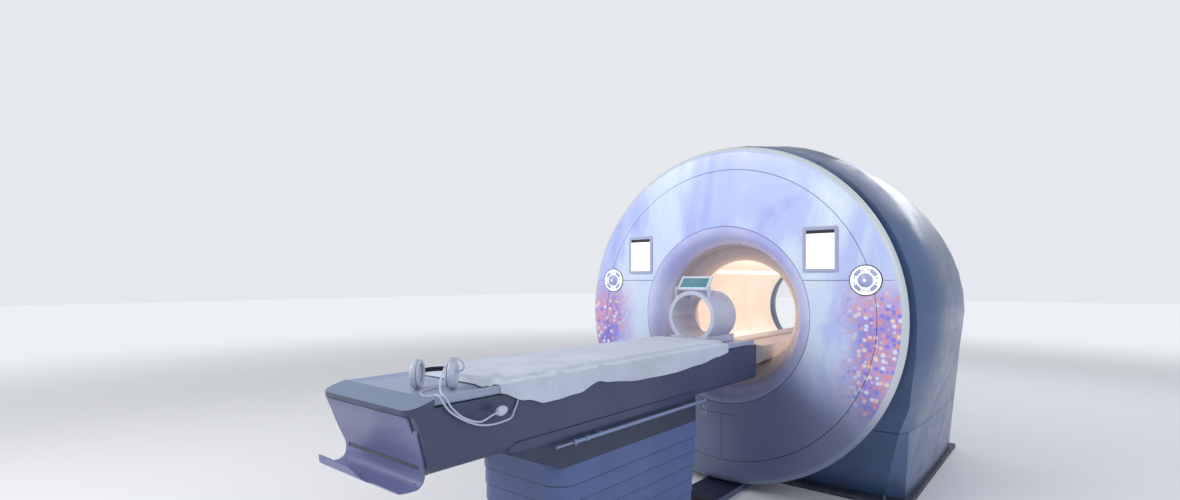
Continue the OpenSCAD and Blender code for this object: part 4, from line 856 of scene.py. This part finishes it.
def hoodFairing(look):
    # fills the notch between the trough's flank and the top of the hood, on both sides
    def flank(x):
        for (xa, za), (xb, zb) in zip(look["trough"], look["trough"][1:]):
            if x <= xb:
                return lerp(za, zb, (x - xa) / (xb - xa))
        return look["trough"][-1][1]

    strips = []
    for side in (-1, 1):
        verts = []
        for y, drawnIn in look["plan"]:
            x = look["half"] - drawnIn
            knee = min(look["trough"][1][0], x - 0.002)
            verts += [(side * look["inner"], y, look["low"]), (side * x, y, look["low"]),
                      (side * x, y, flank(x) - look["gap"]), (side * knee, y, flank(knee) - look["gap"])]
        faces = gridFaces(len(look["plan"]), 4, closed=True) + endCaps(len(look["plan"]), 4)
        strips.append(meshFrom("fairing", verts, faces))
    piece = newObject("hoodFairing", joined("hoodFairing", strips), "table_lift_body", finishes["trough"])
    modifier(piece, "NODES", node_group=softShade)


hoodFairing(fairing)

mirror = {"pivot": (0, -1.28, 1.2593), "lean": -40, "width": 0.170, "length": 0.071, "thick": 0.0024,
          "face": -0.0048, "low": 0.0025}


def mirrorGlass(look):
    made, tree, surface, place = startMaterial("mirrorGlass")
    streaks = noiseOf(tree, place, 8.0, 3.0)
    tree.links.new(mixed(tree, streaks, tone(0.44, 0.66, 0.72), tone(0.60, 0.80, 0.85)),
                   surface.inputs["Base Color"])
    surface.inputs["Metallic"].default_value = 0.9
    tree.links.new(spread(tree, streaks, 0.3, 0.7, 0.03, 0.09), surface.inputs["Roughness"])
    turn = Matrix.Translation(look["pivot"]) @ Matrix.Rotation(math.radians(look["lean"]), 4, "X")
    half, low, high = look["width"] / 2, look["low"], look["low"] + look["length"]
    verts = [turn @ Vector((x, y, z)) for y in (look["face"], look["face"] + look["thick"])
             for x, z in ((-half, low), (half, low), (half, high), (-half, high))]
    faces = [(0, 1, 2, 3), (7, 6, 5, 4), (0, 4, 5, 1), (1, 5, 6, 2), (2, 6, 7, 3), (3, 7, 4, 0)]
    piece = newObject("mirrorGlass", meshFrom("mirrorGlass", verts, faces, soft=False), "mirror_body", made)
    modifier(piece, "BEVEL", width=0.0006, segments=2)


mirrorGlass(mirror)

anchors = {"x": 0.85, "front": -0.555, "rear": 1.025, "top": 0.030, "nut": 0.012, "washer": 0.017}


def floorAnchors(look):
    parts = []
    for x in (-look["x"], look["x"]):
        for y in (look["front"], look["rear"]):
            place = Matrix.Translation((x, y, look["top"]))
            w, n = look["washer"], look["nut"]
            parts.append(lathe("washer", [(0.001, 0.0002), (w, 0.0002), (w, 0.0024), (w - 0.0006, 0.003),
                                          (0.001, 0.003)], 32, place))
            parts.append(lathe("nut", [(0.001, 0.003), (n, 0.003), (n, 0.0125), (n - 0.0012, 0.0136),
                                       (0.001, 0.0136)], 6, place))
            parts.append(lathe("stud", [(0.001, -0.02), (0.0078, -0.02), (0.0078, 0.020), (0.0066, 0.0212),
                                        (0.001, 0.0212)], 24, place))
    piece = newObject("floorAnchors", joined("floorAnchors", parts), "gantry", finishes["steel"])
    modifier(piece, "NODES", node_group=softShade)


floorAnchors(anchors)
print("trim fitted")

# floor, world and lamps
studio = {"floor": tone(0.95, 0.955, 0.965), "paper": tone(0.90, 0.91, 0.93), "sky": (0.93, 0.95, 1.0, 1.0),
          "skyStrength": 0.55, "reach": 40, "fadeFrom": 5.0, "fadeTo": 13.0}


def studioFloor(look):
    far = look["reach"]
    mesh = meshFrom("studioFloor", [(-far, -far, 0), (far, -far, 0), (far, far, 0), (-far, far, 0)],
                    [(0, 1, 2, 3)], closed=False)
    floor = bpy.data.objects.new("studioFloor", mesh)
    bpy.context.scene.collection.objects.link(floor)
    made, tree, surface, place = startMaterial("studioFloor")
    mixedFloor = mixed(tree, noiseOf(tree, place, 3.0, 4.0), look["floor"],
                       shaded(look["floor"], 0.97))
    surface.inputs["Roughness"].default_value = 0.7
    surface.inputs["Emission Color"].default_value = look["paper"]
    away = addNode(tree, "ShaderNodeVectorMath", {0: place}, operation="LENGTH").outputs["Value"]
    fade = spread(tree, away, look["fadeFrom"], look["fadeTo"])
    tree.links.new(fade, surface.inputs["Emission Strength"])
    tree.links.new(mixed(tree, fade, mixedFloor, (0, 0, 0, 1)), surface.inputs["Base Color"])
    mesh.materials.append(made)


def studioWorld(look):
    world = bpy.data.worlds.new("studio")
    bpy.context.scene.world = world
    world.use_nodes = True
    tree = world.node_tree
    tree.nodes.clear()
    rays = addNode(tree, "ShaderNodeLightPath")
    soft = addNode(tree, "ShaderNodeBackground", {"Color": look["sky"], "Strength": look["skyStrength"]})
    seen = addNode(tree, "ShaderNodeBackground", {"Color": look["paper"], "Strength": 1.0})
    direct = mathOf(tree, "MAXIMUM", rays.outputs["Is Camera Ray"], rays.outputs["Is Transmission Ray"])
    both = addNode(tree, "ShaderNodeMixShader", {0: direct, 1: soft.outputs[0], 2: seen.outputs[0]})
    addNode(tree, "ShaderNodeOutputWorld", {"Surface": both.outputs[0]})


lamps = {
    "keyLamp": {"place": (-2.6, -6.2, 4.6), "aim": (0, -1.6, 0.9), "size": (3.5, 2.5), "power": 190,
                "colour": (1.0, 0.98, 0.96)},
    "sideLamp": {"place": (5.2, -2.6, 3.4), "aim": (0.4, -0.6, 0.9), "size": (3.0, 2.5), "power": 70,
                 "colour": (0.86, 0.92, 1.0)},
    "backLamp": {"place": (1.5, 5.5, 4.2), "aim": (0, 0.5, 1.2), "size": (4.0, 2.0), "power": 80,
                 "colour": (0.95, 0.97, 1.0)},
}


def softLamp(name, look):
    data = bpy.data.lights.new(name, "AREA")
    data.shape = "RECTANGLE"
    data.size, data.size_y = look["size"]
    data.energy = look["power"]
    data.color = look["colour"]
    lamp = bpy.data.objects.new(name, data)
    bpy.context.scene.collection.objects.link(lamp)
    lamp.location = look["place"]
    lamp.rotation_mode = "QUATERNION"
    lamp.rotation_quaternion = (Vector(look["aim"]) - Vector(look["place"])).to_track_quat("-Z", "Y")


studioFloor(studio)
studioWorld(studio)
for name, look in lamps.items():
    softLamp(name, look)
bpy.context.scene.view_settings.view_transform = "Standard"
print("studio lit")
